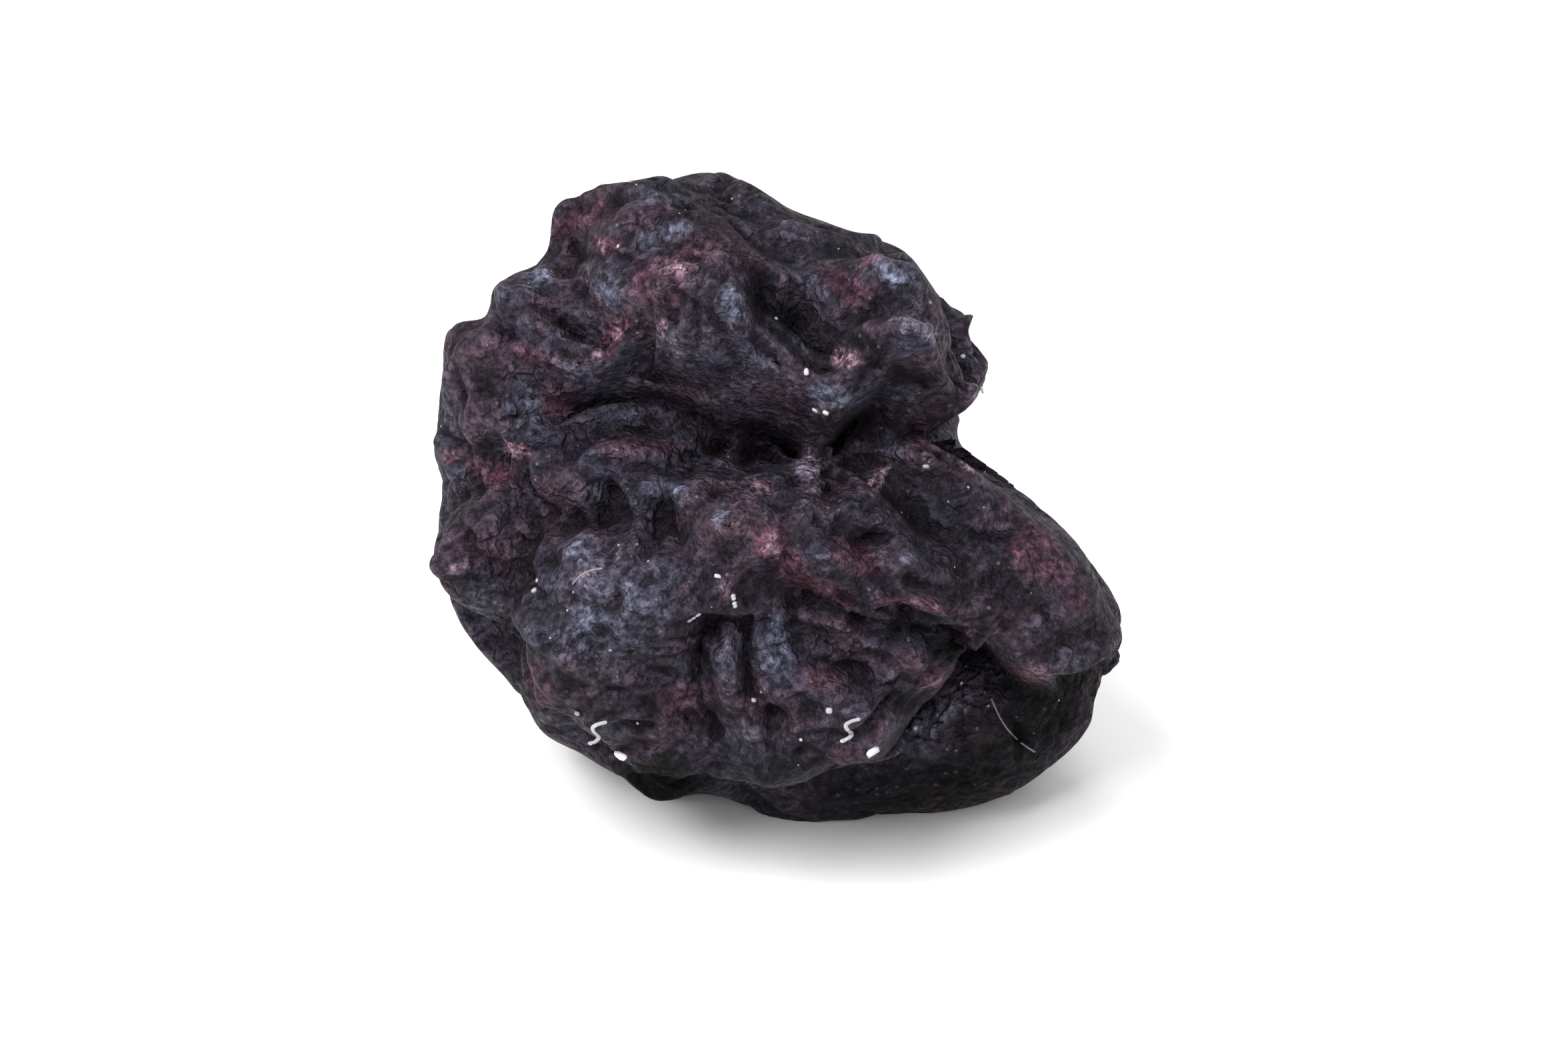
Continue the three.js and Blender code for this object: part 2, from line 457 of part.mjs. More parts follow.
// The dried skin's point for a direction: the plump point, moved by every mass, fold and wrinkle
function driedPoint(way) {
  const plump = plumpPoint(way);
  const outward = outwardAt(plump);
  const swayed = plump.clone().add(new THREE.Vector3(...sway.map((field) => swayReach * field(plump))));
  const calmed = (share, patch) => share * (1 - patch.loses * insidePatch(patch, plump));
  const rough = calmPatches.reduce(calmed, 1);
  let lift = lobes.reduce((sum, lobe) => sum + lobe.out * insidePatch(lobe, plump), 0);
  lift += scarLift(plump) + crownLift(plump, outward);
  wrinkles.forEach((wrinkle, i) => {
    lift += rough * wrinkleLift(wrinkle, wrinkleFields[i], swayed);
  });
  const calm = 0.15 + 0.85 * ramp(0.02, 0.35, Math.abs(plump.z) / depthToFront);
  const placed = plump.clone().lerp(swayed, 0.4);
  const knobLift = knobs.reduce((sum, knob) => sum + knob.out * insidePatch(knob, placed), 0);
  const dried = plump.clone().addScaledVector(outward, lift * calm + knobStrength * knobLift);
  folds.forEach((fold) => dried.add(foldMove(fold, swayed, outward)));
  dried.z += stepMove(plump);
  return trimmed(dried);
}

// Turns a drawn point into the upright frame: u is X, and the eye looks down along +Y
const tilt = THREE.MathUtils.degToRad(eyeElevation);
function upright(point) {
  return new THREE.Vector3(
    point.x,
    point.y * Math.sin(tilt) - point.z * Math.cos(tilt),
    point.y * Math.cos(tilt) + point.z * Math.sin(tilt),
  );
}

// The six sides of a cube, each as its outward axis and two axes across it
const cubeSides = [
  [[1, 0, 0], [0, 1, 0], [0, 0, 1]], [[-1, 0, 0], [0, 0, 1], [0, 1, 0]],
  [[0, 1, 0], [0, 0, 1], [1, 0, 0]], [[0, -1, 0], [1, 0, 0], [0, 0, 1]],
  [[0, 0, 1], [1, 0, 0], [0, 1, 0]], [[0, 0, -1], [0, 1, 0], [1, 0, 0]],
].map((axes) => axes.map((axis) => new THREE.Vector3(...axis)));

// A grid on each side of the cube, blown up to a ball of directions and laid on the dried skin
function skinGeometry() {
  const positions = [];
  const faces = [];
  const row = stepsPerSide + 1;
  cubeSides.forEach(([out, across, up], side) => {
    for (let i = 0; i < row * row; i += 1) {
      const a = Math.tan((Math.PI / 4) * ((2 * (i % row)) / stepsPerSide - 1));
      const b = Math.tan((Math.PI / 4) * ((2 * Math.floor(i / row)) / stepsPerSide - 1));
      const way = out.clone().addScaledVector(across, a).addScaledVector(up, b).normalize();
      positions.push(...upright(driedPoint(way)).toArray());
    }
    for (let i = 0; i < stepsPerSide * stepsPerSide; i += 1) {
      const corner = side * row * row + Math.floor(i / stepsPerSide) * row + (i % stepsPerSide);
      faces.push(corner, corner + 1, corner + row + 1, corner, corner + row + 1, corner + row);
    }
  });
  const geometry = new THREE.BufferGeometry();
  geometry.setAttribute("position", new THREE.Float32BufferAttribute(positions, 3));
  geometry.setIndex(faces);
  return mergeVertices(geometry, 1e-3);
}

// Sets the fruit to its width, presses its lowest points flat and stands it on the surface
function seat(geometry) {
  const size = fruitWidth / drawnWidth;
  geometry.scale(size, size, size);
  geometry.computeBoundingBox();
  const box = geometry.boundingBox;
  const floor = box.min.z + flatSpotLift;
  const position = geometry.getAttribute("position");
  for (let i = 0; i < position.count; i += 1) {
    position.setZ(i, Math.max(0, position.getZ(i) - floor));
  }
  geometry.translate(-(box.min.x + box.max.x) / 2, -(box.min.y + box.max.y) / 2, 0);
}

const fruitSkin = new THREE.MeshStandardMaterial({ color: 0x2b2630, roughness: 0.72, metalness: 0 });
const fruitGeometry = skinGeometry();
seat(fruitGeometry);
fruitGeometry.computeVertexNormals();
const fruit = new THREE.Mesh(fruitGeometry, fruitSkin);
fruit.name = "dried_blueberry";

const part = new THREE.Group();
part.add(fruit);
export default part;
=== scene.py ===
import math

import bpy
import numpy as np
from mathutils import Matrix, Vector


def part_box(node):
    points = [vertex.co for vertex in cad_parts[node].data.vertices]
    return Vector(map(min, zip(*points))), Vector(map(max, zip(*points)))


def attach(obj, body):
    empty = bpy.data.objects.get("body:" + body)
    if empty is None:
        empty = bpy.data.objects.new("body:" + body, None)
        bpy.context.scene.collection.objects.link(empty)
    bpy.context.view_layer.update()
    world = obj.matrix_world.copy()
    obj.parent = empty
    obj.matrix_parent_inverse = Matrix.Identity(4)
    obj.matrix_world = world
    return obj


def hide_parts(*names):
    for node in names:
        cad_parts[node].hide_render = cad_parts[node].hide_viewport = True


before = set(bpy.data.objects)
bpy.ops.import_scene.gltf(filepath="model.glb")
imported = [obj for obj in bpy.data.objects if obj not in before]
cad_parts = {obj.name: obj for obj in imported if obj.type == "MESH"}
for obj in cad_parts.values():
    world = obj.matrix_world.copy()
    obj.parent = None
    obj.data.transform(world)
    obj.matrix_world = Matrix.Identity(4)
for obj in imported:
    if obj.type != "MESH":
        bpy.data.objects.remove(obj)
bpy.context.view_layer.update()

cadLow, cadHigh = [np.array(corner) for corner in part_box("dried_blueberry")]
millimetre = 0.001

# The fruit is worked out in millimetres as the eye sees it, as its solid was: u to the right, v up the
# picture, w towards the eye. A place on it is written as (u, v), or (u, v, -1) on the side that faces away.


# Camera and light

camera = {
    "elevation": 30,          # degrees above the floor, as the photograph looks at this berry
    "lens": 260,              # millimetres: a long lens, because the berry is a small part of the photograph
    "sensorWidth": 36,
    "pictureSize": (2352, 1568),     # only for the frame's shape
    "nearest": 0.005,
    "frameHeight": 16.6,      # millimetres of the scene from the lower to the upper edge, at the berry
    "aimHeight": 4.7,         # millimetres over the floor
    "aimSide": 0.1,
}
studio = {
    "key": {"power": 0.85, "size": 0.15, "place": (-0.10, -0.12, 0.19), "colour": (1.0, 0.985, 0.97)},
    "fill": {"power": 0.10, "size": 0.14, "place": (0.10, -0.22, 0.12), "colour": (0.95, 0.97, 1.0)},
    "rim": {"power": 0.16, "size": 0.12, "place": (0.0, 0.10, 0.24), "colour": (1.0, 1.0, 1.0)},
    "target": (0, 0, 0.004),
    "sky": 1.05,
}


def addObject(name, data):
    thing = bpy.data.objects.new(name, data)
    bpy.context.scene.collection.objects.link(thing)
    return thing


def pointAt(thing, target):
    thing.rotation_euler = (Vector(target) - thing.location).to_track_quat("-Z", "Y").to_euler()


def makeCamera():
    data = bpy.data.cameras.new("camera")
    data.lens = camera["lens"]
    data.sensor_width = camera["sensorWidth"]
    data.clip_start = camera["nearest"]
    thing = addObject("camera", data)
    # distance = the frame's height at the berry, times the lens over the height of the sensor
    wide, high = camera["pictureSize"]
    distance = camera["frameHeight"] * millimetre * camera["lens"] / (camera["sensorWidth"] * high / wide)
    rise = math.radians(camera["elevation"])
    aim = Vector((camera["aimSide"], 0, camera["aimHeight"])) * millimetre
    thing.location = aim + Vector((0, -math.cos(rise), math.sin(rise))) * distance
    pointAt(thing, aim)
    bpy.context.scene.camera = thing


def makeLights():
    for name in ("key", "fill", "rim"):
        lamp = studio[name]
        data = bpy.data.lights.new(name, "AREA")
        data.shape = "DISK"
        data.energy = lamp["power"]
        data.size = lamp["size"]
        data.color = lamp["colour"]
        thing = addObject(name, data)
        thing.location = lamp["place"]
        pointAt(thing, studio["target"])
    world = bpy.data.worlds.new("studio")
    world.use_nodes = True
    world.node_tree.nodes["Background"].inputs["Color"].default_value = (1, 1, 1, 1)
    world.node_tree.nodes["Background"].inputs["Strength"].default_value = studio["sky"]
    bpy.context.scene.world = world
    bpy.context.scene.view_settings.view_transform = "Standard"


makeCamera()
makeLights()
print("camera and lights are set")


# Small tools for shapes

# 0 below the first value, 1 above the second, smooth between: 3 s^2 - 2 s^3 of the share s
def ramp(start, end, value):
    share = np.clip((value - start) / (end - start), 0, 1)
    return share * share * (3 - 2 * share)


def lengthOf(vectors):
    return np.sqrt((vectors * vectors).sum(-1))


# A row of even random numbers from 0 to 1 that never changes: each state is 16807 times the last one, and
# what is left of that after division by 2^31 - 1
class SeededNumbers:
    def __init__(self, start):
        self.state = start

    def draw(self):
        self.state = self.state * 16807 % 2147483647
        return self.state / 2147483647


# A smooth random field: the sum of plane waves of about one length in all directions, with a spread near 1
def waveField(numbers, spacing, count=20):
    ways, phases = [], []
    for _ in range(count):
        rise = 2 * numbers.draw() - 1
        around = 2 * math.pi * numbers.draw()
        rate = math.pi / spacing * (0.75 + 0.5 * numbers.draw())
        flat = math.sqrt(1 - rise * rise)
        ways.append([rate * flat * math.cos(around), rate * flat * math.sin(around), rate * rise])
        phases.append(2 * math.pi * numbers.draw())
    ways, phases = np.array(ways), np.array(phases)
    return lambda points: math.sqrt(2 / count) * np.sin(points @ ways.T + phases).sum(1)


# Round humps between sharp valleys: the size of a wave field, rounded at its foot
def humps(field, points, softness=0.12):
    return np.hypot(field(points), softness) - 0.75


# The fruit's form

form = {
    "depthToFront": 4.5,
    "depthToBack": 4.3,
    "sideFullness": 0.86,
    "sway": 0.22,             # how far wave fields bend the wrinkles and folds, in millimetres
    "knobSway": 0.4,          # the share of the sway that the knobs follow
    "knobStrength": 1.2,
    "edgeCalm": 0.15,         # the share of the relief that is left at the outline
    "stepsPerSide": 128,
    "seed": 4127,
    "detailSeed": 90210,
}
# The outline as drawn, u and v in millimetres, counter-clockwise from the notch on the right
outline = np.array([
    (3.2, 1.3), (3.41, 1.73), (3.77, 2.12), (3.32, 2.88), (3.39, 3.08),
    (3.03, 3.32), (2.74, 3.65), (2.26, 4.18), (1.35, 4.42), (0.48, 4.76), (-0.63, 5.38), (-1.78, 5.19),
    (-2.88, 4.9), (-3.22, 4.47), (-3.46, 3.94), (-4.09, 3.56), (-4.23, 3.08),
    (-4.81, 2.88), (-5.0, 2.21), (-5.14, 0.96), (-5.0, 0.38), (-5.05, -0.29), (-5.0, -0.87),
    (-4.66, -1.73), (-3.99, -2.6), (-3.46, -3.41), (-2.74, -3.85), (-2.07, -4.23), (-1.59, -4.54),
    (-0.87, -4.47), (-0.24, -4.62), (0.34, -5.0), (1.54, -4.98), (2.4, -4.86), (3.85, -4.57),
    (4.81, -3.99), (5.29, -3.41),
    (5.38, -2.98), (5.63, -2.6), (5.91, -2.21), (5.77, -1.54), (5.14, -0.63), (4.38, 0.19), (3.37, 0.96),
])
# The plain oval that the fruit rounds off to in front and behind
oval = {"u": 0.35, "v": 0.1, "halfWidth": 5.35, "halfHeight": 5.05}

# Round masses: name, place, half length and half width, turn in degrees, how far they stand out
lobes = [
    ("cap", (-0.7, 3.3), (4.6, 2.1), -10, 0.6),
    ("cap shoulder", (1.9, 3.0), (2.4, 1.2), -30, 0.4),
    ("cap's right foot", (1.9, 1.95), (1.7, 0.6), -12, 0.85),
    ("left edge", (-4.4, -0.8), (2.0, 1.0), 80, 0.35),
    ("left flank", (-2.5, -2.1), (2.5, 2.3), 90, 0.4),
    ("swirl", (1.1, -2.4), (1.7, 1.5), 20, 0.6),
    ("front foot", (0.7, -3.8), (2.3, 0.8), 8, 0.4),
    ("lower right", (3.1, -2.8), (1.2, 0.7), 30, 0.4),
    ("wing rim", (4.7, -0.9), (2.4, 0.9), -40, 0.5),
    ("red ridge", (0.9, -0.8), (2.0, 0.6), -22, 0.55),
    ("band under the cap", (0.4, 1.0), (3.6, 0.9), -8, -0.8),
    ("left hollow", (-2.6, -0.15), (1.3, 0.5), -15, -0.35),
    ("left of the band", (-2.2, 0.8), (1.7, 0.6), -8, -0.35),
    ("wing hollow", (3.1, -0.1), (1.9, 0.9), -35, -0.55),
    ("back top", (-1.6, 2.6, -1), (2.4, 1.5), 15, 0.35),
    ("back shoulder", (2.2, 2.2, -1), (2.0, 1.4), -30, 0.35),
    ("back left", (-3.4, -0.4, -1), (2.4, 1.3), 80, 0.5),
    ("back middle", (-0.4, -0.2, -1), (2.0, 1.4), 40, 0.45),
    ("back low", (-1.8, -2.5, -1), (2.4, 1.4), -10, 0.45),
    ("back hollow", (0.2, 0.6, -1), (2.0, 0.9), 60, -0.6),
    ("side hollow", (-2.2, 1.3, -1), (1.9, 0.7), 10, -0.5),
    ("hidden foot", (-1.9, -3.75, -1), (2.4, 1.5), 0, 0.9),
]
# Smaller masses and pits. They were drawn by hand on the dried fruit, and a separate fitting run then moved
# their places, and those of the folds on the front, to where drying brings them back under the eye
knobs = [
    ("cap front ridge", (-1.16, 3.11), (0.77, 0.24), 20, 0.28),
    ("cap top plate", (-1.51, 3.91), (0.67, 0.29), 12, 0.2),
    ("peak", (-0.6, 4.86), (0.58, 0.29), -10, 0.25),
    ("left plate", (-2.2, 3.07), (0.38, 0.24), 10, 0.18),
    ("blue plate", (-0.42, 2.77), (0.34, 0.53), 10, 0.28),
    ("pink ridge", (-2.07, 2.58), (0.75, 0.24), 52, 0.3),
    ("curled flake", (-1.4, 2.47), (0.43, 0.24), -50, 0.3),
    ("pale flake on the left", (-2.75, 2.21), (0.43, 0.19), -22, 0.26),
    ("upper lobe", (1.83, 2.95), (0.96, 0.48), -38, 0.4),
    ("pale ridge", (2.03, 2.28), (0.96, 0.22), -20, 0.32),
    ("ridge below the valley", (0.81, 1.98), (0.96, 0.29), -18, 0.42),
    ("three-cornered flake", (1.05, 1.63), (0.38, 0.24), 0, 0.28),
    ("right tip", (3.28, 1.97), (0.38, 0.38), 0, 0.35),
    ("pale flake", (0.69, 0.78), (0.24, 0.38), -15, 0.38),
    ("bent flake", (2.32, 0.36), (0.29, 0.14), 45, 0.25),
    ("band ridge on the left", (-1.86, 0.96), (0.87, 0.24), -10, 0.1),
    ("band ridge on the right", (2.92, 0.67), (0.62, 0.19), -12, 0.28),
    ("band ridge in the middle", (-0.52, 0.5), (0.77, 0.24), -15, 0.22),
    ("flank knob", (-2.09, -0.89), (0.58, 0.38), 0, 0.2),
    ("low flank knob", (-1.8, -1.88), (0.48, 0.43), 0, 0.18),
    ("lowest flank knob", (-2.56, -2.11), (0.43, 0.38), 0, 0.18),
    ("left knob", (-4.15, -0.74), (0.29, 0.29), 0, 0.2),
    ("left ridge", (-4.05, -0.38), (0.24, 0.67), 10, 0.2),
    ("between the upright folds", (-0.3, -2.46), (0.24, 1.06), 0, 0.3),
    ("outer coil", (1.13, -1.86), (0.96, 0.19), -20, 0.25),
    ("inner coil", (1.17, -2.28), (0.67, 0.19), -25, 0.25),
    ("lower coil", (1.16, -2.87), (0.77, 0.24), -12, 0.2),
    ("right knob", (2.42, -2.33), (0.38, 0.38), 0, 0.3),
    ("knob by the pit", (3.7, -2.91), (0.24, 0.43), 0, 0.25),
    ("red peak", (0.24, -0.38), (0.36, 0.3), -30, 0.18),
    ("red arc", (1.25, -0.79), (0.77, 0.24), -25, 0.28),
    ("red rim", (2.53, -1.38), (0.58, 0.17), -12, 0.25),
    ("lit rim", (1.64, -3.96), (1.25, 0.19), 20, 0.3),
    ("wing lip", (5, -2.3), (0.9, 0.45), 25, 0.4),
    ("slanted pit", (-3, 2.94), (0.43, 0.14), -15, -0.4),
    ("high valley pit", (-0.06, 3.37), (0.4, 0.24), -45, -0.35),
    ("valley pit", (0.52, 3.1), (0.5, 0.3), -40, -0.45),
    ("crease pit", (1.81, 1.33), (0.62, 0.35), -8, -0.5),
    ("middle crease pit", (0.34, 1.34), (0.24, 0.43), 15, -0.5),
    ("left crease pit", (-1.09, 1.4), (0.43, 0.38), 0, -0.4),
    ("under the cap's front", (-1.22, 2.12), (1.15, 0.29), -5, -0.35),
    ("hollow of the curled flake", (-1.52, 2.48), (0.19, 0.19), -50, -0.25),
    ("coil pit", (3.55, -2.77), (0.34, 0.29), 0, -0.6),
    ("small pit", (2.06, -1.71), (0.19, 0.19), 0, -0.4),
    ("small pit on the right", (2.38, -1.73), (0.19, 0.19), 0, -0.4),
    ("wedge", (2.6, -3.59), (0.43, 0.19), 15, -0.5),
    ("coil hollow", (1.57, -2.62), (0.58, 0.19), -22, -0.3),
    ("wing spot", (3.91, -0.43), (0.34, 0.19), 0, -0.15),
    ("flank hollow", (-1.72, -3.25), (0.43, 0.19), -10, -0.25),
    ("middle hollow", (-0.31, -0.47), (0.3, 0.26), 0, -0.2),
    ("band hollow", (1.28, 0.12), (0.24, 0.24), 0, -0.25),
    ("left hollow pit", (-2.91, -0.24), (0.58, 0.24), -8, -0.4),
    ("foot hollow", (-1.68, -4.77), (0.58, 0.29), 0, -0.5),
    ("dark wing", (2.82, -0.13), (0.67, 0.38), -30, -0.3),
    ("foot pit", (0.4, -3.2), (0.24, 0.48), -35, -0.3),
    ("lip wedge", (4.29, -3.75), (0.19, 0.43), 20, -0.3),
    ("right crease pit", (3.76, 1.7), (0.5, 0.3), 0, -0.4),
]
# Folds: name, the way it runs, width and depth of the valley, how far it reaches under the edge on its
# left hand, and how far that edge stands above the other
folds = [
    ("under the cap", [(-3.84, 2.09), (-3.49, 1.6), (-2.43, 1.61), (-1.33, 1.67), (-0.15, 1.64), (1.19, 1.17),
        (2.57, 1.05), (3.5, 1.25), (3.99, 1.38), (3.2, 1.4, -1), (2.4, 1.9, -1), (1.4, 1.8, -1)],
        0.42, 1.7, 0.15, 0.5),
    ("cap valley", [(-0.58, 3.44), (0.19, 3.12), (0.91, 2.77), (1.87, 1.91), (3.05, 1.48)],
        0.36, 1.05, 0.2, 0.4),
    ("below the pink ridge", [(-1.85, 2.62), (-2.2, 2.21), (-2.62, 1.81)], 0.25, 0.5, 0, -0.15),
    ("slanted pit", [(-2.99, 2.8), (-2.51, 2.55)], 0.22, 0.45, 0.2, 0.1),
    ("left furrow", [(-3.87, 0.18), (-3.66, -0.72), (-3.41, -1.42), (-3.94, -2.53)], 0.3, 0.6, 0, 0.2),
    ("first upright fold", [(-0.69, -1.21), (-0.68, -2.66), (-0.71, -3.64)], 0.24, 0.5, 0, -0.2),
    ("second upright fold", [(0.13, -1.34), (0.31, -2.16), (0.22, -2.87)], 0.22, 0.5, 0, 0.2),
    ("swirl", [(0.4, -1.88), (0.97, -1.85), (1.52, -2.03), (2.01, -2.3), (2.35, -2.88)],
        0.22, 0.45, 0.1, 0.12),
    ("under the red ridge", [(0.93, -1.23), (1.58, -1.7), (1.95, -1.78), (2.32, -1.68), (2.93, -2.1),
        (3.94, -3.1)], 0.28, 0.65, 0.3, 0.3),
    ("below the wing", [(3.52, -1.83), (4.39, -2.96), (4.2, -3.36)], 0.24, 0.5, 0, 0.15),
    ("upper arc", [(-1.5, -0.02), (-1.22, -0.09), (-0.92, -0.32)], 0.18, 0.25, 0, 0),
    ("over the underside", [(-1.2, -4.35), (0, -4.35), (0.7, -4.15), (1.6, -3.8), (2.4, -3.2), (3.2, -2.75),
        (4, -2.65)], 0.3, 0.7, 0.2, 0.3),
    ("under the lip", [(3.7, -2.6), (4.3, -2.85), (4.9, -2.75), (5.4, -2.55), (5.8, -2.4)],
        0.24, 0.8, 0.2, 0.4),
    ("long back fold", [(-4, 2, -1), (-2.4, 1.6, -1), (-0.6, 1.9, -1), (0.4, 1.5, -1), (1, 1.7, -1)],
        0.45, 1, 0.3, 0.4),
    ("back branch", [(-0.6, 1.9, -1), (-0.2, 3.2, -1), (0.6, 4.3, -1)], 0.35, 0.6, 0, 0.2),
    ("back left fold", [(-2.2, 1.3, -1), (-2, 0, -1), (-2.5, -1.5, -1), (-3.6, -2.4, -1)], 0.35, 0.7, 0, 0.3),
    ("back low fold", [(-2.4, -1.5, -1), (-1.4, -1.9, -1), (-0.4, -1.7, -1), (0.4, -2.6, -1)],
        0.35, 0.7, 0.2, 0.3),
    ("back foot fold", [(-1.4, -1.9, -1), (-1.3, -3, -1), (-1, -3.9, -1)], 0.3, 0.4, 0, -0.15),
    ("top fold", [(-2.6, 4.3, -1), (-2.2, 3, -1), (-2.6, 1.8, -1)], 0.3, 0.5, 0, 0.2),
]
# Thin creases of the skin, as the eye sees them run
creases = [
    [(-0.1, 3.75), (0.19, 3.41), (0.58, 3.03), (1.06, 2.84), (1.68, 2.6), (2.31, 2.16), (2.98, 1.97)],
    [(-1.78, 3.08), (-1.97, 2.64), (-2.31, 2.21), (-2.64, 1.83)], [(-3.12, 2.98), (-2.55, 2.74)],
    [(-2.02, 4.38), (-1.44, 4.62), (-0.91, 4.86)], [(-3.08, 4.13), (-2.6, 4.04), (-2.07, 4.09)],
    [(-1.15, 5.19), (-0.72, 5.1), (-0.34, 5.1)], [(1.83, 3.27), (2.5, 2.93), (3.08, 2.69)],
    [(1.44, 2.98), (2.02, 2.74), (2.64, 2.4)], [(-1.68, 2.84), (-1.78, 2.5), (-1.54, 2.16), (-1.11, 2.16)],
    [(-3.94, 2.21), (-3.46, 2.21), (-3.08, 1.97)], [(-3.27, 1.3), (-2.4, 1.2), (-1.63, 1.2), (-0.87, 1.3)],
    [(-2.88, 0.34), (-2.4, 0.29), (-2.07, 0.05)],
    [(-3.37, 0.0), (-2.6, -0.1), (-1.92, -0.19), (-1.3, -0.29), (-1.06, -0.43)],
    [(-1.78, -0.77), (-1.54, -0.62), (-1.2, -0.67), (-0.91, -0.91)],
    [(-3.61, -0.19), (-3.7, -0.82), (-3.65, -1.39), (-3.8, -1.92), (-3.99, -2.4)],
    [(-0.87, -1.54), (-0.87, -2.26), (-0.96, -2.98)],
    [(0.1, -1.63), (-0.1, -2.12), (-0.1, -2.74), (0.0, -3.32)],
    [(0.1, -1.68), (0.58, -1.73), (1.11, -1.78), (1.54, -2.02), (1.78, -2.4), (2.07, -2.79)],
    [(0.72, -2.02), (1.2, -2.31), (1.59, -2.64), (1.97, -2.98)], [(0.38, -2.4), (0.67, -2.79), (1.06, -3.22)],
    [(1.11, -1.06), (1.44, -1.44), (1.78, -1.92), (2.07, -2.4), (2.4, -2.79)],
    [(0.0, -3.46), (0.48, -3.7), (1.06, -4.04)], [(3.27, -1.97), (3.65, -2.21), (3.94, -2.5), (4.09, -2.98)],
    [(3.85, -1.54), (3.99, -1.92)], [(4.47, -1.44), (4.66, -1.83)],
    [(1.68, -0.1), (2.4, -0.29), (3.03, -0.34), (3.61, -0.43)], [(-4.23, 1.35), (-4.38, 1.92), (-4.62, 2.5)],
    [(-4.04, 1.35), (-3.61, 1.88), (-3.22, 2.16)], [(-3.94, 0.77), (-3.46, 0.72)],
    [(-3.85, 0.29), (-3.99, -0.1)], [(-2.98, -2.84), (-2.4, -2.74), (-1.83, -2.88), (-1.44, -3.17)],
    [(-0.87, -4.13), (-0.24, -3.8), (0.29, -3.85)], [(0.34, 0.77), (0.48, 1.25), (1.06, 1.39)],
    [(2.79, 0.87), (2.93, 1.3), (3.22, 1.59)],
]
creaseShape = {"wide": 0.13, "deep": 0.2}
# Flakes and pits of the skin, with a crisp edge: name, where the eye sees them, size, turn, height
flakes = [
    ("pale flake", (0.77, 0.82), (0.36, 0.19), 105, 0.18),
    ("three-cornered flake", (1.11, 1.83), (0.34, 0.22), -10, 0.16),
    ("bent flake", (1.9, 0.53), (0.26, 0.08), 60, 0.14), ("sliver", (0.05, 0.41), (0.26, 0.09), -20, 0.12),
    ("pink flake", (1.35, 2.43), (0.18, 0.15), 0, 0.13),
    ("curled flake", (-1.44, 2.55), (0.43, 0.26), -52, 0.16),
    ("hollow of the curled flake", (-1.49, 2.48), (0.26, 0.13), -52, -0.16),
    ("pink ridge", (-2.24, 2.74), (0.43, 0.13), 55, 0.16),
    ("left flake", (-2.88, 2.28), (0.41, 0.14), -25, 0.13),
    ("slanted pit", (-2.84, 2.86), (0.31, 0.1), -22, -0.16),
    ("glint flake", (-1.3, 3.87), (0.31, 0.11), -5, 0.1),
    ("lilac flake", (-0.67, 4.06), (0.26, 0.12), 12, 0.09),
    ("blue plate", (-0.38, 3.27), (0.34, 0.22), 98, 0.12),
    ("blue streak", (2.07, 3.65), (0.36, 0.15), -50, 0.1),
    ("upper ridge", (-1.44, 4.35), (0.58, 0.16), 20, 0.1),
    ("pale ridge", (2.5, 2.81), (0.58, 0.14), -25, 0.12),
    ("left blue plate", (-2.31, 3.56), (0.24, 0.17), -15, 0.09),
    ("tip", (3.51, 2.12), (0.24, 0.17), 50, 0.12),
    ("between the upright folds", (-0.48, -2.31), (0.72, 0.22), 88, 0.12),
    ("red rim", (2.4, -1.51), (0.58, 0.08), -6, 0.09),
    ("by the coil pit", (2.5, -2.36), (0.29, 0.17), 20, 0.1),
    ("low knob of the wing", (4.38, -2.69), (0.31, 0.24), 20, 0.1),
    ("first small pit", (2.07, -1.71), (0.12, 0.11), 0, -0.2),
    ("second small pit", (2.48, -1.73), (0.12, 0.11), 0, -0.2),
    ("wedge", (2.36, -3.1), (0.36, 0.17), 8, -0.2), ("coil pit", (3.05, -2.07), (0.26, 0.2), -20, -0.2),
    ("shine of the left knob", (-4.71, -0.87), (0.24, 0.14), 15, 0.1),
    ("pit by the red ridge", (1.25, 0.29), (0.12, 0.12), 0, -0.14),
]
# The shares of the way out between which a flake's edge rises
flakeEdge = (1.1, 0.6)
# Small knobs on the outline: place, radius, how far they stand out
edgeKnobs = [
    ((-3.99, 3.41), 0.3, 0.14), ((-4.76, 2.93), 0.25, 0.12), ((-3.12, 4.66), 0.35, 0.12),
    ((-5.24, 1.06), 0.4, 0.1), ((-5.0, -0.1), 0.3, 0.08), ((-4.95, -0.82), 0.3, 0.14),
    ((3.32, 3.12), 0.15, 0.12), ((3.75, 2.16), 0.2, 0.06), ((1.97, 4.23), 0.3, 0.08),
    ((-3.17, -3.51), 0.3, 0.08), ((5.14, -3.32), 0.2, 0.08),
]
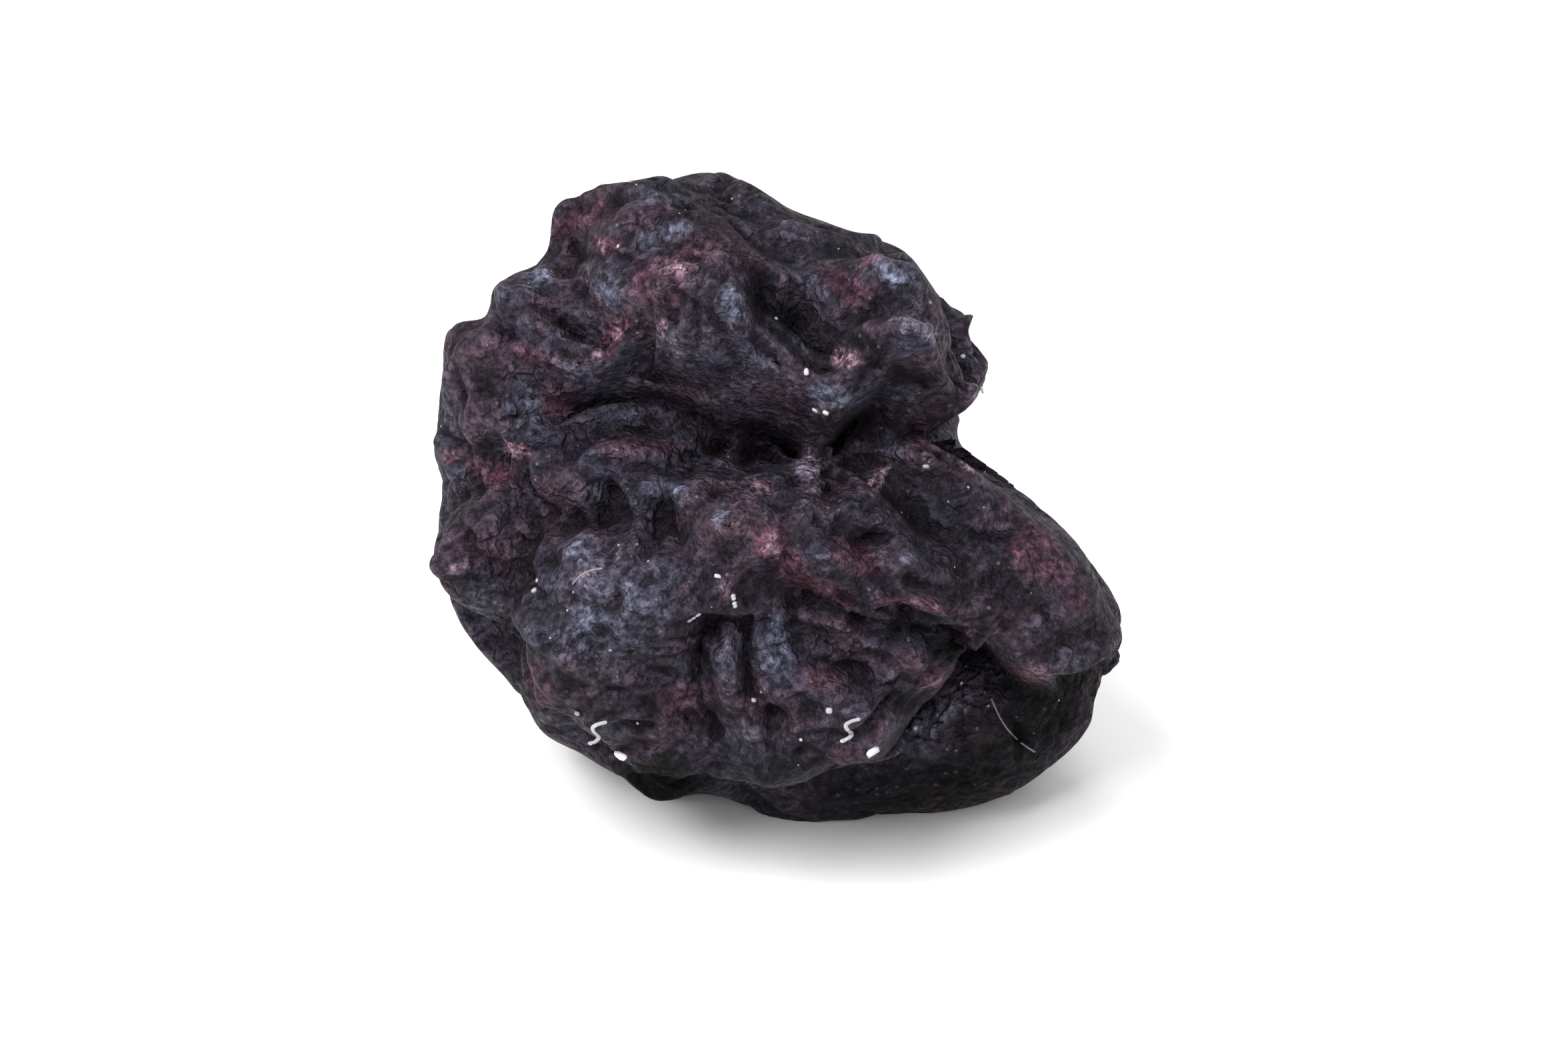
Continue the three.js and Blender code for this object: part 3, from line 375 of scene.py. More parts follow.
# Every fold: how strongly its shoulders are pulled in, how round its valley is, the width and spread of its
# shoulders, how far it acts, and the run and depth of its shallow ends
foldShape = {"shoulderPull": 0.4, "valleySoftness": 0.06, "shoulderWidth": 0.25, "shoulderSpread": 0.9,
             "reach": 2.6, "endRun": 0.2, "endDepth": 0.25}
step = {
    "edge": np.array([(-0.7, -4.4), (0.6, -4.15), (1.5, -3.85), (2.3, -3.25), (3.1, -2.8), (3.9, -2.6),
                      (4.3, -2.85), (4.7, -2.85), (5.4, -2.55), (6.2, -2.2)]),
    "back": 1.7,
    "softness": 0.16,
    "softerBehind": 0.4,
    "starts": (-0.9, 0.3),
    "fadesBehind": (-3, 0),
}
scar = {"at": (-4.28, 0.91), "pitRadius": 0.26, "pitDepth": 0.6, "ringRadius": 0.5, "ringWidth": 0.2,
        "ringLift": 0.14, "rays": 7, "swirl": 0.9, "slant": 0.4, "reach": 2.0, "rayDepth": 0.28}
crown = {"toward": (0.45, -0.15, -0.88), "radius": 1.9, "rimWidth": 0.42, "rimLift": 0.55, "discDrop": 0.75,
         "teeth": 5, "toothShare": 0.35, "dimple": 0.35, "dimpleRadius": 0.35}
# Wrinkles that the solid has too: spacing, depth, kind
wrinkles = [(3.4, 0.12, "wave"), (2.2, 0.26, "valley"), (1.5, 0.18, "ridge"), (1.1, 0.14, "valley")]
# Where they are faint: name, place, size, turn, the share that they lose
smoothPatches = [("wing", (4.2, -0.9), (3.2, 1.8), -40, 0.9), ("underside", (3.0, -4.3), (3.8, 1.5), 15, 0.9)]
# Finer wrinkles that only the skin has
fineWrinkles = [(1.0, 0.12, "valley"), (0.66, 0.10, "ridge"), (0.44, 0.08, "valley"), (0.3, 0.05, "ridge"),
                (0.24, 0.03, "valley")]
# Angular lumps: the skin falls into sharp valleys where two cells of about this size meet; spacing, depth
lumps = [(1.1, 0.10), (0.62, 0.07), (0.38, 0.05)]
# How the fine wrinkles bend, lean sideways and come and go, and the share of them left at the outline and on
# smooth patches
fineShape = {"waves": 28, "sway": 0.28, "swaySpacing": 1.5, "lean": 0.09, "leanSpacing": 1.3,
             "comeAndGo": 0.3, "comeAndGoSpacing": 2.4, "edgeCalm": 0.35, "leastRough": 0.2}
# The fine wrinkles are drawn out along a slant: turn in degrees, scale along it, scale across it
slant = {"turn": -22, "along": 0.78, "across": 1.05}
trim = {"grow": 1.01, "keep": 0.12, "softness": 0.04}
# Sharp peaks of the skin are worn down: limit in millimetres, rounds of averaging round a point
blunt = {"times": 3, "rounds": 5, "limit": 0.015, "share": 0.8}
# How a drawn place is found on the skin: how near its line of sight a point has to be, and how far behind
# the first of those; then how far an oval reaches away from the eye and towards it
sight = {"near": 0.12, "behind": 0.25, "through": 0.8, "throughPerLength": 1.5}

outlineAngle = np.arctan2(outline[:, 1], outline[:, 0])
outlineOrder = np.argsort(outlineAngle)
outlineAngle, outlineDistance = outlineAngle[outlineOrder], lengthOf(outline)[outlineOrder]


# How far the outline lies from the middle at an angle: a cubic with the slopes of its neighbours' chords
def outlineReach(angle):
    count = len(outlineAngle)
    after = np.searchsorted(outlineAngle, angle, side="right")

    def pick(index):
        turns = np.floor_divide(index, count)
        return outlineAngle[index - turns * count] + 2 * np.pi * turns, outlineDistance[index - turns * count]

    (a0, r0), (a1, r1), (a2, r2), (a3, r3) = [pick(after + shift) for shift in (-2, -1, 0, 1)]
    span = a2 - a1
    share = (angle - a1) / span
    slopeIn = (r2 - r0) / (a2 - a0) * span
    slopeOut = (r3 - r1) / (a3 - a1) * span
    square, cube = share ** 2, share ** 3
    return ((2 * cube - 3 * square + 1) * r1 + (cube - 2 * square + share) * slopeIn
            + (3 * square - 2 * cube) * r2 + (cube - square) * slopeOut)


# How far the plain oval lies from the same middle: where a ray from it meets the ellipse
def ovalReach(angle):
    c, s = np.cos(angle) / oval["halfWidth"], np.sin(angle) / oval["halfHeight"]
    u, v = oval["u"] / oval["halfWidth"], oval["v"] / oval["halfHeight"]
    a, b = c * c + s * s, c * u + s * v
    return (b + np.sqrt(b * b - a * (u * u + v * v - 1))) / a


# From the oval in front and behind to the drawn outline where the direction lies flat in the picture
def sweptReach(angle, flat):
    near = ramp(0.4, 1, flat)
    return ovalReach(angle) * (1 - near) + trim["grow"] * outlineReach(angle) * near


# What stands out beyond the drawn outline is drawn back to it, but for a small share
def trimmed(points):
    angle, reach = np.arctan2(points[:, 1], points[:, 0]), np.hypot(points[:, 0], points[:, 1])
    beyond = reach - outlineReach(angle)
    beyond = 0.5 * (beyond + np.hypot(beyond, trim["softness"]))
    scale = 1 - (1 - trim["keep"]) * beyond / reach
    return points * np.stack([scale, scale, np.ones(len(points))], 1)


# The plump fruit: reach x (flat part of the direction)^fullness sideways, depth x (its w part) to the eye
def plumpPoints(ways):
    flat = np.hypot(ways[:, 0], ways[:, 1])
    angle = np.arctan2(ways[:, 1], ways[:, 0])
    spread = sweptReach(angle, flat) * flat ** form["sideFullness"]
    depth = np.where(ways[:, 2] > 0, form["depthToFront"], form["depthToBack"])
    return np.stack([spread * np.cos(angle), spread * np.sin(angle), depth * ways[:, 2]], 1)


# The plump skin's points at places (u, v) or (u, v, -1): the direction is found by halving the error
def pointsOnSkin(places):
    u, v, side = np.array([(*place, 1)[:3] for place in places], float).T
    angle, distance, flat = np.arctan2(v, u), np.hypot(u, v), np.full(len(u), 0.5)
    for _ in range(30):
        reached = np.minimum(1, (distance / sweptReach(angle, flat)) ** (1 / form["sideFullness"]))
        flat = 0.5 * flat + 0.5 * reached
    rise = side * np.sqrt(1 - flat * flat)
    return plumpPoints(np.stack([flat * np.cos(angle), flat * np.sin(angle), rise], 1))


# Cuts a path's corners twice: each leg keeps its points at a quarter and three quarters
def softened(path):
    for _ in range(2):
        start, end = path[:-1], path[1:]
        cut = np.stack([0.75 * start + 0.25 * end, 0.25 * start + 0.75 * end], 1).reshape(-1, 3)
        path = np.concatenate([path[:1], cut, path[-1:]])
    return path


# Which way is out: the normal of an egg of the fruit's proportions
def outwardAt(points):
    depth = np.where(points[:, 2] > 0, form["depthToFront"], form["depthToBack"])
    out = np.stack([(points[:, 0] - oval["u"]) / oval["halfWidth"] ** 2,
                    (points[:, 1] - oval["v"]) / oval["halfHeight"] ** 2, points[:, 2] / depth ** 2], 1)
    return out / lengthOf(out)[:, None]


# The squared share of the way out of a turned egg, from offsets out of its middle: 1 at its edge
def squareOut(offset, size, turnDegrees, through):
    turn = math.radians(turnDegrees)
    along = (offset[:, 0] * math.cos(turn) + offset[:, 1] * math.sin(turn)) / size[0]
    across = (offset[:, 1] * math.cos(turn) - offset[:, 0] * math.sin(turn)) / size[1]
    return along ** 2 + across ** 2 + (offset[:, 2] / through) ** 2


# 1 in the middle of a patch of the plump skin, 0 at its edge: (1 - squared share of the way out)^1.5
def insidePatch(place, size, turn, points):
    offset = points - pointsOnSkin([place])[0]
    return np.maximum(0, 1 - squareOut(offset, size, turn, max(size))) ** 1.5


# A fold: exp(-distance / width) draws the skin in and pulls the shoulders over it, and the shoulder on its
# left hand is lifted
def foldMoves(path, wide, deep, under, lift, points, outward):
    middle = (path.min(0) + path.max(0)) / 2
    near = np.flatnonzero(lengthOf(points - middle) < lengthOf(path - middle).max() + foldShape["reach"])
    moves = np.zeros_like(points)
    here, out = points[near], outward[near]
    legs = path[1:] - path[:-1]
    share = np.clip(((here[:, None] - path[:-1]) * legs).sum(2) / (legs * legs).sum(1), 0, 1)
    feet = path[:-1] + share[..., None] * legs
    distances = lengthOf(here[:, None] - feet)
    best = distances.argmin(1)
    row = np.arange(len(near))
    foot, leg, distance = feet[row, best], legs[best], distances[row, best]
    along = (best + share[row, best]) / len(legs)
    ends = ramp(0, foldShape["endRun"], along) * ramp(0, foldShape["endRun"], 1 - along)
    fade = np.exp(-np.hypot(distance, foldShape["valleySoftness"]) / wide)
    sink = deep * (foldShape["endDepth"] + (1 - foldShape["endDepth"]) * ends) * fade
    hand = np.sign((np.cross(leg, here - foot) * out).sum(1))
    shoulder = 1 - np.exp(-distance / foldShape["shoulderWidth"])
    shoulder *= np.exp(-distance / foldShape["shoulderSpread"])
    moves[near] = (foot - here) * (foldShape["shoulderPull"] * fade)[:, None]
    moves[near, 1] += sink * under
    moves[near] += out * (lift * ends * hand * shoulder - sink)[:, None]
    return moves


# Below its edge the underside lies back, away from the eye
def stepMoves(points):
    softness = step["softness"] + step["softerBehind"] * ramp(0.5, -1, points[:, 2])
    edge = np.interp(points[:, 0], step["edge"][:, 0], step["edge"][:, 1])
    below = ramp(-1, 1, (edge - points[:, 1]) / softness)
    below *= ramp(*step["starts"], points[:, 0]) * ramp(*step["fadesBehind"], points[:, 2])
    return -step["back"] * below


# A pit in a low ring, with short furrows out from it: 1 - |sin| of the angle round it
def scarLift(points):
    out = points - pointsOnSkin([scar["at"]])[0]
    distance = lengthOf(out)
    angle = np.arctan2(out[:, 1], out[:, 2] + scar["slant"] * out[:, 0])
    furrow = 1 - np.abs(np.sin(0.5 * scar["rays"] * angle + scar["swirl"] * np.sin(2 * angle)))
    fade = ramp(scar["reach"], 0.4 * scar["reach"], distance)
    fade *= ramp(scar["pitRadius"], 1.5 * scar["ringRadius"], distance)
    pit = scar["pitDepth"] * np.exp(-(distance / scar["pitRadius"]) ** 2)
    ring = scar["ringLift"] * np.exp(-((distance - scar["ringRadius"]) / scar["ringWidth"]) ** 2)
    return ring - pit - scar["rayDepth"] * furrow ** 3 * fade


# A ring of blunt teeth round a sunken disc: a bell curve of the distance from the crown's axis, times a
# cosine of the angle round it
def crownLift(points, outward):
    axis = np.array(crown["toward"]) / np.linalg.norm(crown["toward"])
    out = points - plumpPoints(axis[None])[0]
    flat = out - (out @ axis)[:, None] * axis
    distance = lengthOf(flat)
    angle = np.arctan2(flat[:, 1], flat[:, 0] - flat[:, 2])
    facing = ramp(0.2, 0.6, outward @ axis)
    tooth = 1 + crown["toothShare"] * np.cos(crown["teeth"] * angle + 0.7 * np.sin(angle))
    rim = crown["rimLift"] * tooth * np.exp(-((distance - crown["radius"]) / crown["rimWidth"]) ** 2)
    disc = crown["discDrop"] * ramp(crown["radius"], crown["radius"] * 0.55, distance)
    dimple = crown["dimple"] * np.exp(-(distance / crown["dimpleRadius"]) ** 2)
    return facing * (rim - disc - dimple)


# Half the gap between the nearest and the next cell middle, in spacings: 0 where two cells meet. Each middle
# lies at random in its own cube of a grid that is 15 mm wide.
def cellGaps(numbers, spacing, points):
    size = int(15 / spacing) + 3
    middles = np.array([numbers.draw() for _ in range(3 * size ** 3)]).reshape(size, size, size, 3)
    scaled = points / spacing + size / 2
    home = np.floor(scaled).astype(int)
    best = np.full((2, len(points)), 9.0)
    for corner in np.ndindex(3, 3, 3):
        cell = home + np.array(corner) - 1
        gap = lengthOf(cell + 0.15 + 0.7 * middles[cell[:, 0], cell[:, 1], cell[:, 2]] - scaled)
        best[1] = np.minimum(best[1], np.maximum(gap, best[0]))
        best[0] = np.minimum(best[0], gap)
    return 0.5 * (best[1] - best[0])


# A wave, round humps between sharp valleys, or sharp ridges between round hollows
def wrinkleLift(kind, field, points):
    if kind == "wave":
        return field(points)
    return humps(field, points) * (1 if kind == "valley" else -1)


# Scales places along and across the slant, so that a pattern on them comes out longer or shorter there
def drawnOut(points):
    c, s = math.cos(math.radians(slant["turn"])), math.sin(math.radians(slant["turn"]))
    along = slant["along"] * (points[:, 0] * c + points[:, 1] * s)
    across = slant["across"] * (points[:, 1] * c - points[:, 0] * s)
    return np.stack([along, across, points[:, 2]], 1)


# The main form, as the solid has it: the plump point, moved out and in by every mass, wrinkle and fold
def mainForm(plump, outward):
    numbers = SeededNumbers(form["seed"])
    sway = [waveField(numbers, 2.6) for _ in range(3)]
    fields = [waveField(numbers, spacing) for spacing, _, _ in wrinkles]
    swayed = plump + form["sway"] * np.stack([field(plump) for field in sway], 1)
    rough = np.ones(len(plump))
    for _, place, size, turn, loses in smoothPatches:
        rough *= 1 - loses * insidePatch(place, size, turn, plump)
    lift = scarLift(plump) + crownLift(plump, outward)
    for _, place, size, turn, out in lobes:
        lift += out * insidePatch(place, size, turn, plump)
    placed = (1 - form["knobSway"]) * plump + form["knobSway"] * swayed
    knobLift = sum(out * insidePatch(place, size, turn, placed) for _, place, size, turn, out in knobs)
    for (_, depth, kind), field in zip(wrinkles, fields):
        lift += rough * depth * wrinkleLift(kind, field, swayed)
    away = ramp(0.02, 0.35, np.abs(plump[:, 2]) / form["depthToFront"])
    calm = form["edgeCalm"] + (1 - form["edgeCalm"]) * away
    dried = plump + outward * (lift * calm + form["knobStrength"] * knobLift)[:, None]
    for _, way, wide, deep, under, raised in folds:
        dried += foldMoves(softened(pointsOnSkin(way)), wide, deep, under, raised, swayed, outward)
    dried[:, 2] += stepMoves(plump)
    return dried, swayed, rough


# Which points the eye sees at drawn places: of those in front of a place's line of sight, the closest to it
def indicesSeen(points, places):
    found = []
    for place in places:
        gap = np.hypot(points[:, 0] - place[0], points[:, 1] - place[1])
        front = points[gap < gap.min() + sight["near"], 2].max()
        found.append(np.where(points[:, 2] > front - sight["behind"], gap, np.inf).argmin())
    return np.array(found)


# The share of the way out of an oval that the eye sees at a place: 0 in its middle, 1 at its edge
def shareOut(place, size, turn, points):
    offset = points - points[indicesSeen(points, [place])[0]]
    return np.sqrt(squareOut(offset, size, turn, sight["through"] + sight["throughPerLength"] * size[0]))


# What only the skin has: creases and flakes where the eye sees them
def drawnMoves(dried, swayed, outward):
    view = trimmed(dried)
    moves = np.zeros_like(dried)
    for way in creases:
        path = softened(swayed[indicesSeen(view, way)])
        moves += foldMoves(path, creaseShape["wide"], creaseShape["deep"], 0, 0, swayed, outward)
    for _, place, size, turn, out in flakes:
        moves += outward * (out * ramp(*flakeEdge, shareOut(place, size, turn, view)))[:, None]
    return moves


# Fine wrinkles and angular lumps, in and out, and a small lean sideways
def fineMoves(plump, swayed, outward, rough):
    numbers = SeededNumbers(form["detailSeed"])
    fields = [waveField(numbers, spacing, fineShape["waves"]) for spacing, _, _ in fineWrinkles]
    sway = [waveField(numbers, fineShape["swaySpacing"]) for _ in range(3)]
    lean = [waveField(numbers, fineShape["leanSpacing"]) for _ in range(3)]
    comeAndGo = waveField(numbers, fineShape["comeAndGoSpacing"])
    wound = drawnOut(plump + fineShape["sway"] * np.stack([field(plump) for field in sway], 1))
    patchy = 0.85 + fineShape["comeAndGo"] * np.clip(comeAndGo(plump), -1, 1)
    fine = np.zeros(len(plump))
    for (_, depth, kind), field in zip(fineWrinkles, fields):
        fine += depth * wrinkleLift(kind, field, wound)
    for spacing, depth in lumps:
        fine += depth * (np.minimum(1, 4 * cellGaps(numbers, spacing, wound)) - 0.7)
    away = ramp(0, 0.3, np.abs(plump[:, 2]) / form["depthToFront"])
    fine *= patchy * (fineShape["edgeCalm"] + (1 - fineShape["edgeCalm"]) * away)
    fine *= fineShape["leastRough"] + (1 - fineShape["leastRough"]) * rough
    leaning = fineShape["lean"] * (patchy * rough)[:, None] * np.stack([field(swayed) for field in lean], 1)
    return outward * fine[:, None] + leaning


# The knobs on the outline: the skin moves straight out from the middle, by a bell curve of the distance
def withEdgeKnobs(points):
    away = points[:, :2] / np.hypot(points[:, 0], points[:, 1])[:, None]
    moved = points.copy()
    for place, radius, out in edgeKnobs:
        offset = points - np.array([*place, points[indicesSeen(points, [place])[0], 2]])
        moved[:, :2] += away * (out * np.exp(-(lengthOf(offset) / radius) ** 2))[:, None]
    return moved


# The dried skin: the main form, what is drawn on it, and the fine wrinkles
def driedPoints(ways):
    plump = plumpPoints(ways)
    outward = outwardAt(plump)
    dried, swayed, rough = mainForm(plump, outward)
    dried += drawnMoves(dried, swayed, outward) + fineMoves(plump, swayed, outward, rough)
    return withEdgeKnobs(trimmed(dried))


# Turns drawn points into the upright frame: u is X, and the eye looks down along +Y
def upright(points):
    tilt = math.radians(camera["elevation"])
    u, v, w = points.T
    return np.stack([u, v * math.sin(tilt) - w * math.cos(tilt), v * math.cos(tilt) + w * math.sin(tilt)], 1)


# The way back, from the upright frame to u, v and w
def seen(points):
    tilt = math.radians(camera["elevation"])
    x, y, z = points.T
    return np.stack([x, y * math.sin(tilt) + z * math.cos(tilt), z * math.sin(tilt) - y * math.cos(tilt)], 1)


# A ball of directions: a grid on each side of a cube, with the tangent of even angles, blown up to length 1.
# Points that two sides share are found by their rounded directions and made one.
def cubeBall(steps):
    turnAngles = np.tan(np.linspace(-math.pi / 4, math.pi / 4, steps + 1))
    across, up = np.meshgrid(turnAngles, turnAngles)
    across, up, one = across.ravel(), up.ravel(), np.ones(across.size)
    sides = [(one, across, up), (-one, up, across), (up, one, across), (across, -one, up), (across, up, one),
             (up, across, -one)]
    ways = np.concatenate([np.stack(side, 1) for side in sides])
    ways /= lengthOf(ways)[:, None]
    corner = (np.arange(steps)[:, None] * (steps + 1) + np.arange(steps)).ravel()
    quad = np.stack([corner, corner + 1, corner + steps + 2, corner + steps + 1], 1)
    quads = np.concatenate([quad + side * (steps + 1) ** 2 for side in range(6)])
    _, first, same = np.unique(np.round(ways, 7), axis=0, return_index=True, return_inverse=True)
    return ways[first], same.ravel()[quads]


# Every point's neighbours as pairs of its four-sided faces' edges, both ways round
def neighbourPairs(quads):
    ends = np.concatenate([np.stack([quads[:, i], quads[:, (i + 1) % 4]], 1) for i in range(4)])
    pairs = np.unique(np.sort(ends, 1), axis=0)
    return np.concatenate([pairs, pairs[:, ::-1]])


# The mean of each point's neighbours, again and again: a wider and wider average of the values
def spreadOut(values, pairs, rounds):
    count = np.bincount(pairs[:, 0], minlength=len(values)).astype(float)
    values = values.reshape(len(values), -1)
    for _ in range(rounds):
        sums = [np.bincount(pairs[:, 0], values[pairs[:, 1], i], len(values)) for i in range(values.shape[1])]
        values = 0.5 * values + 0.5 * np.stack(sums, 1) / count[:, None]
    return values


# Each point's normal: the sum of the cross products of its faces' diagonals
def normalsOf(points, quads):
    cross = np.cross(points[quads[:, 2]] - points[quads[:, 0]], points[quads[:, 3]] - points[quads[:, 1]])
    sums = [np.bincount(quads.ravel(), np.repeat(cross[:, i], 4), len(points)) for i in range(3)]
    normal = np.stack(sums, 1)
    return normal / lengthOf(normal)[:, None]


# How far a point stands above the average of the skin round it, in millimetres
def reliefOf(points, normals, pairs, rounds):
    return ((points - spreadOut(points, pairs, rounds)) * normals).sum(1)


# Wears down the sharp peaks: what stands out further than a limit goes back by most of the rest
def blunted(points, quads, pairs):
    for _ in range(blunt["times"]):
        normals = normalsOf(points, quads)
        beyond = np.maximum(0, reliefOf(points, normals, pairs, blunt["rounds"]) - blunt["limit"])
        points = points - normals * (blunt["share"] * beyond)[:, None]
    return points


def makeMesh(name, points, faces, marks={}):
    mesh = bpy.data.meshes.new(name)
    mesh.vertices.add(len(points))
    mesh.vertices.foreach_set("co", (points * millimetre).astype(np.float32).ravel())
    mesh.loops.add(faces.size)
    mesh.loops.foreach_set("vertex_index", faces.astype(np.int32).ravel())
    mesh.polygons.add(len(faces))
    mesh.polygons.foreach_set("loop_start", np.arange(0, faces.size, faces.shape[1], dtype=np.int32))
    mesh.polygons.foreach_set("use_smooth", np.ones(len(faces), bool))
    mesh.update(calc_edges=True)
    for mark, values in marks.items():
        layer = mesh.attributes.new(mark, "FLOAT", "POINT")
        layer.data.foreach_set("value", values.astype(np.float32))
    return addObject(name, mesh)


